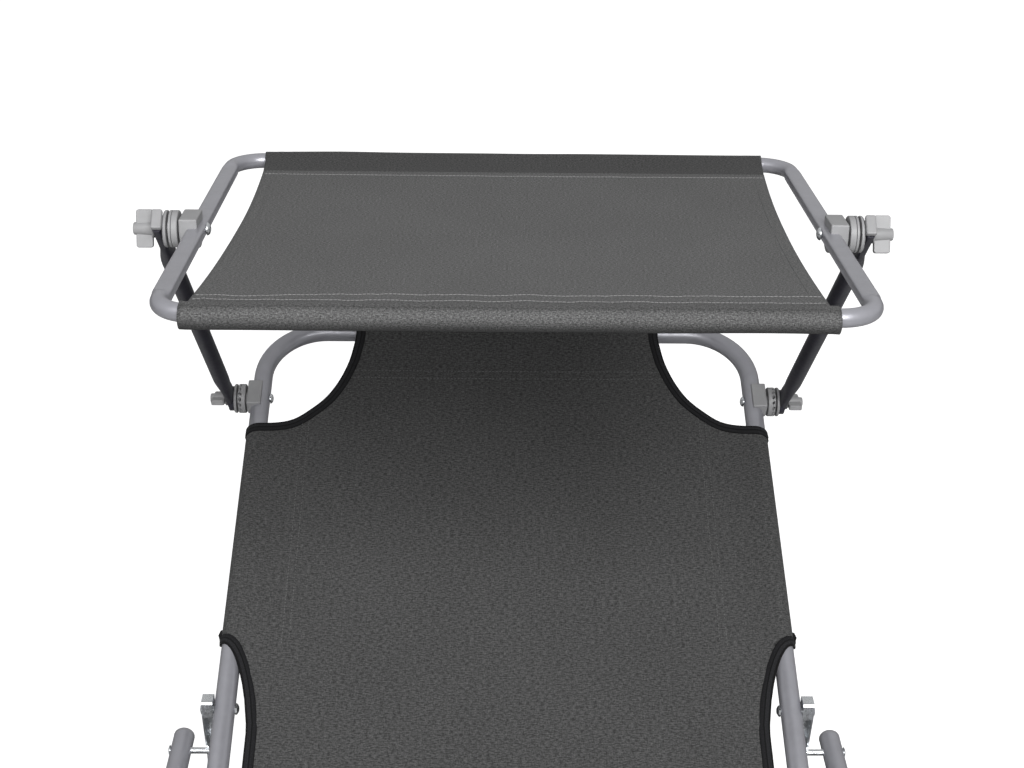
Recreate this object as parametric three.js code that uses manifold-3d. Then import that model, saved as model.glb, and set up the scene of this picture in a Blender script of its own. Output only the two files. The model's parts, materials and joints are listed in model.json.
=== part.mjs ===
// Folding sun lounger with a tilting canopy, in millimetres.
// +X is to the right seen from the foot end, +Y points to the head end and +Z is up.
// Seat rails stand on two U-shaped legs. The backrest and the foot section turn on bolts at the
// rails' ends, and the canopy hangs on two arms between toothed ratchet joints.

import * as THREE from "three";
import { mergeVertices } from "three/addons/utils/BufferGeometryUtils.js";
import Module from "manifold-3d";

const wasm = await Module();
wasm.setup();

const DEGREE = Math.PI / 180;
const QUARTER_TURN = 90 * DEGREE;
const HALF_TURN = 180 * DEGREE;
const FULL_TURN = 360 * DEGREE;

// Clearances
const FIT = 0.3;
const OVERRUN = 20;
const SAME_POINT = 0.0001;

// Facets
const TUBE_SIDES = 10;
const INSIDE_SIDES = 6;
const BEND_STEPS = 4;
const ARC_STEPS = 4;
const OUTLINE_STEPS = 6;
const SLEEVE_STEPS = 8;
const DOME_STEPS = 3;
const ROUND_SIDES = 16;
const SMALL_SIDES = 8;
const EYE_SIDES = 12;
const NOTCH_STEPS = 3;
const SLEEVE_SIDES = 14;

// Frame tube
const TUBE_R = 9;
const TUBE_WALL = 1.2;
const TUBE_BEND = 60;
const PRESSED_THICKNESS = 10;
const PRESSED_WIDTH = 22;
const PRESSED_LENGTH = 14;
const PRESS_RUN = 26;

// Seat frame
const SEAT_TOP = 270;
const RAIL_X = 281;
const SEAT_LENGTH = 600;
const RAIL_PAST_HEAD = 127.5;
const RAIL_PAST_FOOT = 30;
const CAP_DOME = 4;
const CAP_LIP = 2;
const CAP_PLUG = 10;

// Hinge bolts, spacer sleeves and other riveted pins
const BOLT_R = 3;
const BOLT_HEAD_R = 5.5;
const BOLT_HEAD = 3;
const SPACER_R = 6.5;
const PIN_HEAD_R = 4.6;
const PIN_HEAD = 1.4;

// Backrest
const BACK_X = 241;
const BACK_LENGTH = 551.5;
const BACK_ANGLE = 20.5 * DEGREE;

// Struts and the studs that catch them
const STUD_R = 2.75;
const STUD_FROM_HINGE = 111.6;
const STUD_GAP = 0.6;
const RIVET_S = 123;
const RIVET_R = 2.75;
const RIVET_HEAD_R = 5.2;
const RIVET_HEAD = 3.2;
const STRUT_WIDTH = 9.6;
const STRUT_WALL = 1.4;
const STRUT_GAP = 0.4;
const STRUT_HEAD = 10;
const STRUT_HEAD_FRONT = 5;
const STRUT_BACK = 9;
const STRUT_LEAN = -0.285;
const NOTCHES = 4;
const NOTCH_PITCH = 10.1 * DEGREE;
const NOTCH_DEPTH = 5;
const NOTCH_R = 3.1;
const TIP_TURN = 2 * DEGREE;
const STRUT_TIP = 12;

// Legs, their brackets and foot sleeves
const LEG_PIN_DROP = 24;
const LEG_PIN_R = 3;
const REAR_LEG_Y = 50;
const REAR_LEG_SPLAY = 25 * DEGREE;
const FRONT_LEG_FROM_FOOT = 50;
const FRONT_LEG_SPLAY = 20 * DEGREE;
const FOOT_LEG_FROM_END = 80;
const FOOT_LEG_SPLAY = 4 * DEGREE;
const BRACKET_HALF = 12;
const BRACKET_PLATE = 2;
const BRACKET_HUG = 2;
const SLEEVE_R = 11.5;
const SLEEVE_FLAT = 0.5;
const SLEEVE_LENGTH = 40;
const SLEEVE_FROM_BEND = 8;

// Foot section
const FOOT_LENGTH = 720;

// Cloth
const CLOTH = 1.2;
const SLEEVE_SEAM = 43;
const TONGUE_INSET = 19;
const TONGUE_GAP = 8;
const TONGUE_LENGTH = 130;
const SIDE_SLEEVE_START = 193;
const CORNER_CUT_HALF = 152.5;
const CORNER_CUT_DOWN = 128.5;
const SEAT_SLEEVE_FROM_HINGE = 125;
const SEAT_TONGUE = 75;
const CLOTH_TRIM = 1;
const CORNER_CUT_SHARES = [
  [0.33, 0.16],
  [0.055, 0.42],
];
const HINGE_CUT_SHARES = [0.07, 0.55];

// Ratchet joints, measured along X from the lounger's middle
const RATCHET_FROM_BAR = 87.3;
const SADDLE_INNER = 239.5;
const SADDLE_OUTER = 253.4;
const SADDLE_TOP = 11.5;
const SADDLE_R = 14.5;
const NECK = 1.6;
const NECK_R = 9;
const DISC_R = 14.2;
const DISC = 3.6;
const TEETH = 16;
const TOOTH_DEPTH = 1.1;
const TOOTH_SLOT = 2;
const TOOTH_INNER_R = 10.5;
const RING_DISC = 1.7;
const RING_GROOVE = 1.9;
const RING_GROOVE_R = 9;
const RING_FLANGE = 2.6;
const BOLT_DOME_R = 5.3;
const BOLT_DOME = 4;

// Canopy arms
const ARM_R = 7.5;
const ARM_WALL = 1.2;
const ARM_PRESSED = 7.4;
const ARM_OUTWARD = 1.8;
const ARM_PRESSED_WIDTH = 18;
const ARM_PRESSED_LENGTH = 16;
const ARM_PRESS_RUN = 44;
const ARM_LENGTH = 389;
const ARM_ANGLE = 110 * DEGREE;
const ARM_HUB_R = 12;
const ARM_HUB = 5;
const ARM_TAIL = 13;
const ARM_CAP = 5;
const ARM_CAP_HALF = 8;

// Wing knobs
const KNOB_LENGTH = 15.8;
const KNOB_BASE_R = 7;
const KNOB_BASE = 1;
const KNOB_HUB_R = 5.6;
const KNOB_TOP_R = 4.8;
const KNOB_RIM = 0.8;
const WING_REACH = 14.5;
const WING_HALF = 2.6;
const WING_CORNER = 1.2;
const WING_SHORT = 2.2;
const KNOB_END = 2.2;
const KNOB_TURNS = [
  { low: 38 * DEGREE, high: 118 * DEGREE },
  { low: 44 * DEGREE, high: 112 * DEGREE },
];

// Canopy
const CANOPY_R = 6.5;
const CANOPY_WALL = 1;
const CANOPY_X = 241;
const CANOPY_BEND = 27;
const CANOPY_PRESSED = 8.8;
const CANOPY_PRESS_RUN = 10;
const CANOPY_FRONT = 188.5;
const CANOPY_REAR = 204;
const CANOPY_TILT = -7.3 * DEGREE;
const CANOPY_JOINT = 0.3;
const CANOPY_CLOTH = 1;
const CANOPY_SLEEVE_R = 8.4;
const CANOPY_SEAM_FRONT = 33;
const CANOPY_SEAM_REAR = 37;
const CANOPY_CLOTH_FRONT = 222;
const CANOPY_CLOTH_MIDDLE = 204;
const CANOPY_CLOTH_REAR = 219;

// Worked out from the above. A hole's facets stay clear of the round part inside it.
const roomFor = (radius, sides) => (radius + FIT) / Math.cos(HALF_TURN / sides);
const RAIL_Z = SEAT_TOP - TUBE_R;
const FOOT_HINGE_Y = -SEAT_LENGTH;
const FOOT_LEG_S = FOOT_LENGTH - FOOT_LEG_FROM_END;
const RATCHET_S = BACK_LENGTH - RATCHET_FROM_BAR;
const TONGUE_HALF = BACK_X - TONGUE_INSET;
const LEG_PIN_Z = RAIL_Z - LEG_PIN_DROP;
const BAR_Z = SLEEVE_R - SLEEVE_FLAT;
const TUBE_GAP = RAIL_X - BACK_X;
const RING_INNER = SADDLE_OUTER + NECK + DISC + TOOTH_DEPTH + FIT;
const ARM_INNER = RING_INNER + RING_DISC + RING_GROOVE + RING_FLANGE + FIT;
const ARM_X = ARM_INNER + ARM_PRESSED / 2 + ARM_OUTWARD;
const KNOB_INNER = ARM_INNER + ARM_PRESSED + FIT;
const BOLT_END = KNOB_INNER + KNOB_LENGTH - KNOB_END - FIT;
const BORE_R = roomFor(BOLT_R, SMALL_SIDES);
const RIVET_BORE_R = roomFor(RIVET_R, SMALL_SIDES);
const CLOTH_ROOM = roomFor(TUBE_R, SLEEVE_SIDES);
const CLOTH_EDGE_PAST = CLOTH_ROOM + CLOTH + CLOTH_TRIM;

const AXIS_X = new THREE.Vector3(1, 0, 0);
const AXIS_Y = new THREE.Vector3(0, 1, 0);
const AXIS_Z = new THREE.Vector3(0, 0, 1);
const SIDES = [
  { name: "left", sign: -1 },
  { name: "right", sign: 1 },
];

const paint = new THREE.MeshStandardMaterial({ color: 0x9b9ba0, roughness: 0.45, metalness: 0.3 });
const zinc = new THREE.MeshStandardMaterial({ color: 0xc9ccd0, roughness: 0.3, metalness: 0.9 });
const plastic = new THREE.MeshStandardMaterial({ color: 0xa4a4a7, roughness: 0.5, metalness: 0 });
const darkPaint = new THREE.MeshStandardMaterial({ color: 0x2f2e36, roughness: 0.5, metalness: 0 });
const capPlastic = new THREE.MeshStandardMaterial({ color: 0x8a8b90, roughness: 0.55, metalness: 0 });
const cloth = new THREE.MeshStandardMaterial({ color: 0x4a4a4c, roughness: 0.95, metalness: 0 });
const canopyCloth = new THREE.MeshStandardMaterial({ color: 0x58585a, roughness: 0.95, metalness: 0 });

// A closed geometry as a solid. A turned profile may be listed from either end.
function solidOf(geometry) {
  const bare = geometry.clone();
  bare.deleteAttribute("normal");
  bare.deleteAttribute("uv");
  const merged = mergeVertices(bare, SAME_POINT);
  const index = merged.index.array;
  const kept = [];
  for (let i = 0; i < index.length; i += 3) {
    const [a, b, c] = [index[i], index[i + 1], index[i + 2]];
    if (a !== b && b !== c && c !== a) kept.push(a, b, c);
  }
  const make = (triangles) =>
    new wasm.Manifold(
      new wasm.Mesh({
        numProp: 3,
        vertProperties: merged.attributes.position.array,
        triVerts: new Uint32Array(triangles),
      }),
    );
  const solid = make(kept);
  return solid.volume() > 0 ? solid : make(kept.reverse());
}

function addPiece(group, name, solid, material) {
  const { vertProperties, triVerts } = solid.getMesh();
  const geometry = new THREE.BufferGeometry();
  geometry.setAttribute("position", new THREE.BufferAttribute(vertProperties, 3));
  geometry.setIndex(new THREE.BufferAttribute(triVerts, 1));
  geometry.computeVertexNormals();
  const mesh = new THREE.Mesh(geometry, material);
  mesh.name = name;
  group.add(mesh);
  return mesh;
}

function addGroup(parent, y, z, turn) {
  const group = new THREE.Group();
  group.position.set(0, y, z);
  group.rotation.x = turn;
  parent.add(group);
  return group;
}

function boxBetween(low, high) {
  const size = high.map((value, i) => value - low[i]);
  const middle = high.map((value, i) => (value + low[i]) / 2);
  return solidOf(new THREE.BoxGeometry(...size).translate(...middle));
}

// A shape drawn in (Y, Z), carried along X.
function alongX(shape, from, to, curveSegments = ARC_STEPS) {
  const start = Math.min(from, to);
  const depth = Math.abs(to - from);
  const geometry = new THREE.ExtrudeGeometry(shape, {
    depth,
    bevelEnabled: false,
    curveSegments,
  });
  geometry.applyMatrix4(new THREE.Matrix4().makeBasis(AXIS_Y, AXIS_Z, AXIS_X));
  return solidOf(geometry.translate(start, 0, 0));
}

// A shape drawn in (X, Z), carried along Y.
function alongY(shape, from, to) {
  const geometry = new THREE.ExtrudeGeometry(shape, {
    depth: to - from,
    bevelEnabled: false,
    curveSegments: ARC_STEPS,
  });
  const backwards = AXIS_Y.clone().negate();
  geometry.applyMatrix4(new THREE.Matrix4().makeBasis(AXIS_X, AXIS_Z, backwards));
  return solidOf(geometry.translate(0, to, 0));
}

// A shape drawn in (X, Y), carried along Z.
function alongZ(shape, from, to) {
  const geometry = new THREE.ExtrudeGeometry(shape, {
    depth: to - from,
    bevelEnabled: false,
    curveSegments: OUTLINE_STEPS,
  });
  return solidOf(geometry.translate(0, 0, from));
}

// A profile of [radius, place along X], turned about the X axis; sign -1 mirrors it. Its
// facets face the axes as those of the tubes do.
function turned(profile, sign = 1, sides = SMALL_SIDES) {
  const points = profile.map(([radius, x]) => new THREE.Vector2(radius, x * sign));
  const turning = new THREE.LatheGeometry(points, sides, HALF_TURN / sides);
  return solidOf(turning.rotateZ(-QUARTER_TURN));
}

function rodX(radius, from, to, sides = SMALL_SIDES) {
  return turned([[0, from], [radius, from], [radius, to], [0, to]], 1, sides);
}

function rodY(radius, from, to, sides = TUBE_SIDES) {
  return rodX(radius, from, to, sides).rotate([0, 0, 90]);
}

// A dome of the given radius and height, as profile points that start from its base.
function domePoints(radius, height, base, direction) {
  const points = [];
  for (let i = 0; i <= DOME_STEPS; i += 1) {
    const angle = (QUARTER_TURN * i) / DOME_STEPS;
    points.push([radius * Math.cos(angle), base + direction * height * Math.sin(angle)]);
  }
  points[DOME_STEPS][0] = 0;
  return points;
}

// A line or a quarter bend, with the rings that it gets.
class Bend extends THREE.Curve {
  constructor(centre, from, towards, radius) {
    super();
    Object.assign(this, { centre, from, towards, radius });
  }

  getPoint(t, target = new THREE.Vector3()) {
    const angle = QUARTER_TURN * t;
    return target
      .copy(this.centre)
      .addScaledVector(this.from, this.radius * Math.cos(angle))
      .addScaledVector(this.towards, this.radius * Math.sin(angle));
  }

  getTangent(t, target = new THREE.Vector3()) {
    const angle = QUARTER_TURN * t;
    return target
      .set(0, 0, 0)
      .addScaledVector(this.from, -Math.sin(angle))
      .addScaledVector(this.towards, Math.cos(angle));
  }
}

// A chain of curves that gives each of them its own count of rings.
class Route extends THREE.Curve {
  constructor(stretches) {
    super();
    this.stretches = stretches;
    this.rings = stretches.reduce((sum, stretch) => sum + stretch.steps, 0);
  }

  locate(t) {
    let left = t * this.rings;
    for (const stretch of this.stretches) {
      if (left <= stretch.steps) return [stretch.curve, left / stretch.steps];
      left -= stretch.steps;
    }
    return [this.stretches.at(-1).curve, 1];
  }

  getPoint(t, target = new THREE.Vector3()) {
    const [curve, share] = this.locate(t);
    return curve.getPoint(share, target);
  }

  getTangent(t, target = new THREE.Vector3()) {
    const [curve, share] = this.locate(t);
    return curve.getTangent(share, target);
  }

  getPointAt(u, target) {
    return this.getPoint(u, target);
  }

  getTangentAt(u, target) {
    return this.getTangent(u, target);
  }
}

// A route in the XY plane through the points, with quarter bends at the inner ones.
function bentRoute(points, radius) {
  const places = points.map(([x, y]) => new THREE.Vector3(x, y, 0));
  const stretches = [];
  let start = places[0];
  for (let i = 1; i < places.length; i += 1) {
    const corner = places[i];
    const way = corner.clone().sub(places[i - 1]).normalize();
    if (i === places.length - 1) {
      stretches.push({ curve: new THREE.LineCurve3(start, corner), steps: 1 });
      break;
    }
    const onward = places[i + 1].clone().sub(corner).normalize();
    if (Math.abs(way.dot(onward)) > 0.5) {
      stretches.push({ curve: new THREE.LineCurve3(start, corner), steps: 1 });
      start = corner;
      continue;
    }
    const bendStart = corner.clone().addScaledVector(way, -radius);
    const centre = bendStart.clone().addScaledVector(onward, radius);
    stretches.push({ curve: new THREE.LineCurve3(start, bendStart), steps: 1 });
    const bend = new Bend(centre, onward.clone().negate(), way, radius);
    stretches.push({ curve: bend, steps: BEND_STEPS });
    start = corner.clone().addScaledVector(onward, radius);
  }
  return new Route(stretches);
}

function roundSection(radius, sides) {
  const section = new THREE.Shape();
  for (let i = 0; i < sides; i += 1) {
    const angle = (FULL_TURN * (i + 1 / 2)) / sides;
    const point = [radius * Math.cos(angle), radius * Math.sin(angle)];
    if (i === 0) section.moveTo(...point);
    else section.lineTo(...point);
  }
  section.closePath();
  return section;
}

function sweep(route, section) {
  return new THREE.ExtrudeGeometry(section, {
    steps: route.rings,
    extrudePath: route,
    bevelEnabled: false,
  });
}

// The inside of a tube has fewer sides, on a radius that gives the same area as the circle.
function insideRadius(radius) {
  const angle = FULL_TURN / INSIDE_SIDES;
  return radius * Math.sqrt(angle / Math.sin(angle));
}

// How far an end that is pressed flat is pressed, from 1 at the pin to 0 on the round tube.
function pressShare(y, press) {
  const t = THREE.MathUtils.clamp((press.length + press.run - y) / press.run, 0, 1);
  return t * t * (3 - 2 * t);
}

// Presses the tube's two ends, at x = -halfWidth and +halfWidth, flat across X.
function pressEnds(geometry, halfWidth, radius, press, wall) {
  const place = geometry.attributes.position;
  const thin = (press.thickness / 2 - wall) / radius;
  const wide = (press.width / 2 - wall) / radius;
  for (let i = 0; i < place.count; i += 1) {
    const share = pressShare(place.getY(i), press);
    const middle = Math.sign(place.getX(i)) * halfWidth;
    if (share > 0) {
      const x = middle + (place.getX(i) - middle) * (1 + share * (thin - 1));
      place.setX(i, x);
      place.setZ(i, place.getZ(i) * (1 + share * (wide - 1)));
    }
  }
  return geometry;
}

// A hollow U of tube in the XY plane: pins at y = 0 in its pressed ends, bar at y = length.
function uFrame(halfWidth, length, press) {
  const tail = press.width / 2;
  const straights = [press.length, press.length + press.run];
  const legPoints = (sign) => straights.map((y) => [sign * halfWidth, y]);
  const sweepOf = (section, radius, wall, past) => {
    const points = [
      [-halfWidth, -tail - past],
      ...legPoints(-1),
      [-halfWidth, length],
      [halfWidth, length],
      ...legPoints(1).reverse(),
      [halfWidth, -tail - past],
    ];
    const tube = sweep(bentRoute(points, TUBE_BEND), section);
    return solidOf(pressEnds(tube, halfWidth, radius, press, wall));
  };
  const inside = TUBE_R - TUBE_WALL;
  const outer = sweepOf(roundSection(TUBE_R, TUBE_SIDES), TUBE_R, 0, 0);
  const insideSection = roundSection(insideRadius(inside), INSIDE_SIDES);
  const inner = sweepOf(insideSection, inside, TUBE_WALL, OVERRUN);
  const reach = halfWidth + TUBE_R + OVERRUN;
  const side = press.width;
  const endBlock = boxBetween([-reach, -side, -side], [reach, 0, side]);
  const corners = endBlock.subtract(rodX(press.width / 2, -reach - OVERRUN, reach + OVERRUN, EYE_SIDES));
  return outer.subtract(inner).subtract(corners).subtract(rodX(press.bore, -reach, reach));
}

// The outline of a sleeve round a tube at (across, 0), sewn at the seam beside it.
function sleeveOutline(across, seam, radius, gather, drop = 0) {
  const side = Math.sign(across - seam) || 1;
  const run = Math.abs(across - seam);
  const top = new THREE.Vector2(0, gather);
  const centre = new THREE.Vector2(run, -drop);
  const tangent = (sign) => {
    const from = new THREE.Vector2(top.x, top.y * sign);
    const away = from.clone().sub(centre);
    return Math.atan2(away.y, away.x) - sign * Math.acos(radius / away.length());
  };
  const high = tangent(1);
  const low = tangent(-1);
  const turn = (((low - high) % FULL_TURN) - FULL_TURN) % FULL_TURN;
  const points = [[0, gather]];
  for (let i = 0; i <= SLEEVE_STEPS; i += 1) {
    const angle = high + (turn * i) / SLEEVE_STEPS;
    points.push([
      centre.x + radius * Math.cos(angle),
      centre.y + radius * Math.sin(angle),
    ]);
  }
  points.push([0, -gather]);
  const outline = points.map(([u, v]) => new THREE.Vector2(seam + side * u, v));
  return side > 0 ? outline.reverse() : outline;
}

// A sleeve's cross-section: cloth of one thickness round the tube, with the tube's room inside.
function sleeveShape(across, seam, tubeRoom, thickness, drop) {
  const shape = new THREE.Shape(
    sleeveOutline(across, seam, tubeRoom + thickness, thickness, drop),
  );
  const innerSeam = seam + Math.sign(across - seam) * thickness * 2;
  shape.holes.push(
    new THREE.Path(sleeveOutline(across, innerSeam, tubeRoom, thickness / 4, drop)),
  );
  return shape;
}

// A sleeve along Y round a side tube.
function sideSleeve(across, seam, from, to) {
  return alongY(sleeveShape(across, seam, CLOTH_ROOM, CLOTH, 0), from, to);
}

// A sleeve along X round a bar at y = along.
function barSleeve(along, seam, halfWidth, tubeRoom, thickness, drop) {
  return alongX(sleeveShape(along, seam, tubeRoom, thickness, drop), -halfWidth, halfWidth);
}

function shareOf(from, to, share) {
  return from + (to - from) * share;
}

// The plan outline of a section's cloth: a tongue at the hinge, full width, corner cut-outs.
function sectionOutline(length) {
  const edge = BACK_X + CLOTH_EDGE_PAST;
  const top = length + CLOTH_EDGE_PAST;
  const cut = length - CORNER_CUT_DOWN;
  const [[ax, ay], [bx, by]] = CORNER_CUT_SHARES;
  const [hx, hy] = HINGE_CUT_SHARES;
  const outline = new THREE.Shape();
  for (const sign of [1, -1]) {
    const hinge = [sign * TONGUE_HALF, TONGUE_LENGTH];
    const side = [sign * edge, SIDE_SLEEVE_START];
    const hingeControl = [sign * shareOf(TONGUE_HALF, edge, hx), shareOf(hinge[1], side[1], hy)];
    const low = [sign * edge, cut];
    const high = [sign * CORNER_CUT_HALF, top];
    const lowControl = [sign * shareOf(CORNER_CUT_HALF, edge, ax), shareOf(cut, top, ay)];
    const highControl = [sign * shareOf(CORNER_CUT_HALF, edge, bx), shareOf(cut, top, by)];
    if (sign > 0) {
      outline.moveTo(TONGUE_HALF, TONGUE_GAP);
      outline.lineTo(...hinge);
      outline.quadraticCurveTo(...hingeControl, ...side);
      outline.lineTo(...low);
      outline.bezierCurveTo(...lowControl, ...highControl, ...high);
    } else {
      outline.lineTo(...high);
      outline.bezierCurveTo(...highControl, ...lowControl, ...low);
      outline.lineTo(...side);
      outline.quadraticCurveTo(...hingeControl, ...hinge);
      outline.lineTo(-TONGUE_HALF, TONGUE_GAP);
    }
  }
  outline.closePath();
  return outline;
}

// The cloth of the backrest or the foot section, sleeved round the side tubes and the bar.
function sectionCloth(length) {
  const seam = BACK_X - SLEEVE_SEAM;
  const half = CLOTH / 2;
  const tall = TUBE_R + OVERRUN;
  const start = TONGUE_LENGTH - OVERRUN;
  const barSeam = length - SLEEVE_SEAM;
  const end = length - CORNER_CUT_DOWN / 2;
  const sheet = boxBetween(
    [-seam - CLOTH, TONGUE_GAP, -half],
    [seam + CLOTH, barSeam + CLOTH, half],
  );
  const tongue = boxBetween(
    [-TONGUE_HALF, TONGUE_GAP, -half],
    [TONGUE_HALF, SIDE_SLEEVE_START, half],
  );
  const outline = alongZ(sectionOutline(length), -tall, tall);
  const barHalf = CORNER_CUT_HALF + OVERRUN;
  return sheet
    .add(tongue)
    .add(sideSleeve(BACK_X, seam, start, end))
    .add(sideSleeve(-BACK_X, -seam, start, end))
    .intersect(outline)
    .add(barSleeve(length, barSeam, barHalf, CLOTH_ROOM, CLOTH, 0).intersect(outline));
}

// The seat's cloth, sleeved round the rails, with a tongue towards each hinge.
function seatCloth() {
  const seam = RAIL_X - SLEEVE_SEAM;
  const half = CLOTH / 2;
  const tall = TUBE_R + OVERRUN;
  const edge = RAIL_X + CLOTH_EDGE_PAST;
  const near = -SEAT_SLEEVE_FROM_HINGE;
  const far = FOOT_HINGE_Y + SEAT_SLEEVE_FROM_HINGE;
  const nearTongue = -SEAT_TONGUE;
  const farTongue = FOOT_HINGE_Y + SEAT_TONGUE;
  const [hx, hy] = HINGE_CUT_SHARES;
  const corners = [
    [1, nearTongue, near],
    [1, far, farTongue],
    [-1, farTongue, far],
    [-1, near, nearTongue],
  ];
  const outline = new THREE.Shape();
  outline.moveTo(TONGUE_HALF, -TONGUE_GAP);
  corners.forEach(([sign, from, to], i) => {
    const outwards = i % 2 === 0;
    const startX = sign * (outwards ? TONGUE_HALF : edge);
    const endX = sign * (outwards ? edge : TONGUE_HALF);
    const tongueY = outwards ? from : to;
    const sleeveY = outwards ? to : from;
    const controlX = sign * shareOf(TONGUE_HALF, edge, hx);
    outline.lineTo(startX, from);
    outline.quadraticCurveTo(controlX, shareOf(tongueY, sleeveY, hy), endX, to);
    if (i === 1) {
      outline.lineTo(TONGUE_HALF, FOOT_HINGE_Y + TONGUE_GAP);
      outline.lineTo(-TONGUE_HALF, FOOT_HINGE_Y + TONGUE_GAP);
    }
  });
  outline.lineTo(-TONGUE_HALF, -TONGUE_GAP);
  outline.closePath();
  const sheet = boxBetween(
    [-seam - CLOTH, FOOT_HINGE_Y + TONGUE_GAP, -half],
    [seam + CLOTH, -TONGUE_GAP, half],
  );
  return sheet
    .add(sideSleeve(RAIL_X, seam, farTongue, nearTongue))
    .add(sideSleeve(-RAIL_X, -seam, farTongue, nearTongue))
    .intersect(alongZ(outline, -tall, tall));
}

// A side rail with the holes of its hinge bolts and its stud.
function rail(sign) {
  const x = sign * RAIL_X;
  const head = RAIL_PAST_HEAD;
  const foot = FOOT_HINGE_Y - RAIL_PAST_FOOT;
  const across = [sign * (RAIL_X - TUBE_R - OVERRUN), sign * (RAIL_X + TUBE_R + OVERRUN)];
  const bore = rodX(BORE_R, ...across);
  return rodY(TUBE_R, foot, head)
    .subtract(rodY(TUBE_R - TUBE_WALL, foot - OVERRUN, head + OVERRUN))
    .translate([x, 0, 0])
    .subtract(bore)
    .subtract(bore.translate([0, FOOT_HINGE_Y, 0]))
    .subtract(rodX(STUD_R + FIT, ...across).translate([0, STUD_FROM_HINGE, 0]));
}

// A plastic end cap: a plug in the tube, a lip and a low dome.
function endCap() {
  const plugR = TUBE_R - TUBE_WALL - FIT;
  const profile = [
    [0, -CAP_PLUG],
    [plugR, -CAP_PLUG],
    [plugR, FIT],
    [TUBE_R, FIT],
    ...domePoints(TUBE_R, CAP_DOME, FIT + CAP_LIP, 1),
  ];
  return turned(profile, 1, TUBE_SIDES).rotate([0, 0, 90]);
}

// A bolt or rivet along X between two faces, with a domed head at each end.
function rivet(radius, headR, head, inner, outer, sign) {
  return turned(
    [
      ...domePoints(headR, head, inner - FIT, -1).reverse(),
      [radius, inner - FIT],
      [radius, outer + FIT],
      ...domePoints(headR, head, outer + FIT, 1),
    ],
    sign,
  );
}

function hingeBolt(sign) {
  const inner = BACK_X - PRESSED_THICKNESS / 2;
  return rivet(BOLT_R, BOLT_HEAD_R, BOLT_HEAD, inner, RAIL_X + TUBE_R, sign);
}

function spacer(sign) {
  const inner = BACK_X + PRESSED_THICKNESS / 2 + FIT;
  const outer = RAIL_X - TUBE_R - FIT;
  return rodX(SPACER_R, sign * inner, sign * outer).subtract(
    rodX(BORE_R, sign * (inner - OVERRUN), sign * (outer + OVERRUN)),
  );
}

// The stud in the rail: it ends just beside the backrest's tube.
function catchStud(sign) {
  const outer = RAIL_X + TUBE_R + FIT;
  return turned(
    [
      [0, BACK_X + TUBE_R + STUD_GAP],
      [STUD_R, BACK_X + TUBE_R + STUD_GAP],
      [STUD_R, outer],
      ...domePoints(PIN_HEAD_R, PIN_HEAD, outer, 1),
    ],
    sign,
  );
}

// A leg bracket: a saddle under the tube and two cheeks that hold the leg's pin.
function legBracket() {
  const room = PRESSED_THICKNESS / 2 + FIT;
  const cheek = room + BRACKET_PLATE;
  const bottom = -LEG_PIN_DROP - BRACKET_HALF;
  const web = -(TUBE_R + FIT + BRACKET_PLATE);
  const side = new THREE.Shape();
  side.moveTo(BRACKET_HALF, -BRACKET_HUG);
  side.lineTo(-BRACKET_HALF, -BRACKET_HUG);
  side.absarc(0, -LEG_PIN_DROP, BRACKET_HALF, HALF_TURN, FULL_TURN, false);
  side.closePath();
  const pin = turned([
    ...domePoints(PIN_HEAD_R, PIN_HEAD, -cheek, -1).reverse(),
    [PIN_HEAD_R, cheek],
    ...domePoints(PIN_HEAD_R, PIN_HEAD, cheek, 1).slice(1),
  ]);
  const shankRoom = rodX(PIN_HEAD_R + OVERRUN, -room, room).subtract(
    rodX(LEG_PIN_R, -room - FIT, room + FIT),
  );
  return alongX(side, -cheek, cheek)
    .subtract(rodY(TUBE_R + FIT, -BRACKET_HALF - OVERRUN, BRACKET_HALF + OVERRUN))
    .subtract(boxBetween([-room, -OVERRUN, bottom - OVERRUN], [room, OVERRUN, web]))
    .add(pin.subtract(shankRoom).translate([0, 0, -LEG_PIN_DROP]));
}

// Where a stud stands in the hanging strut's own frame when the backrest has risen by an angle.
function studInStrut(rise) {
  const angle = BACK_ANGLE + rise;
  const turn = (1 + STRUT_LEAN) * rise;
  const y = STUD_FROM_HINGE - RIVET_S * Math.cos(angle);
  const z = -RIVET_S * Math.sin(angle);
  return new THREE.Vector2(
    y * Math.cos(turn) + z * Math.sin(turn),
    -y * Math.sin(turn) + z * Math.cos(turn),
  );
}

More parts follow.
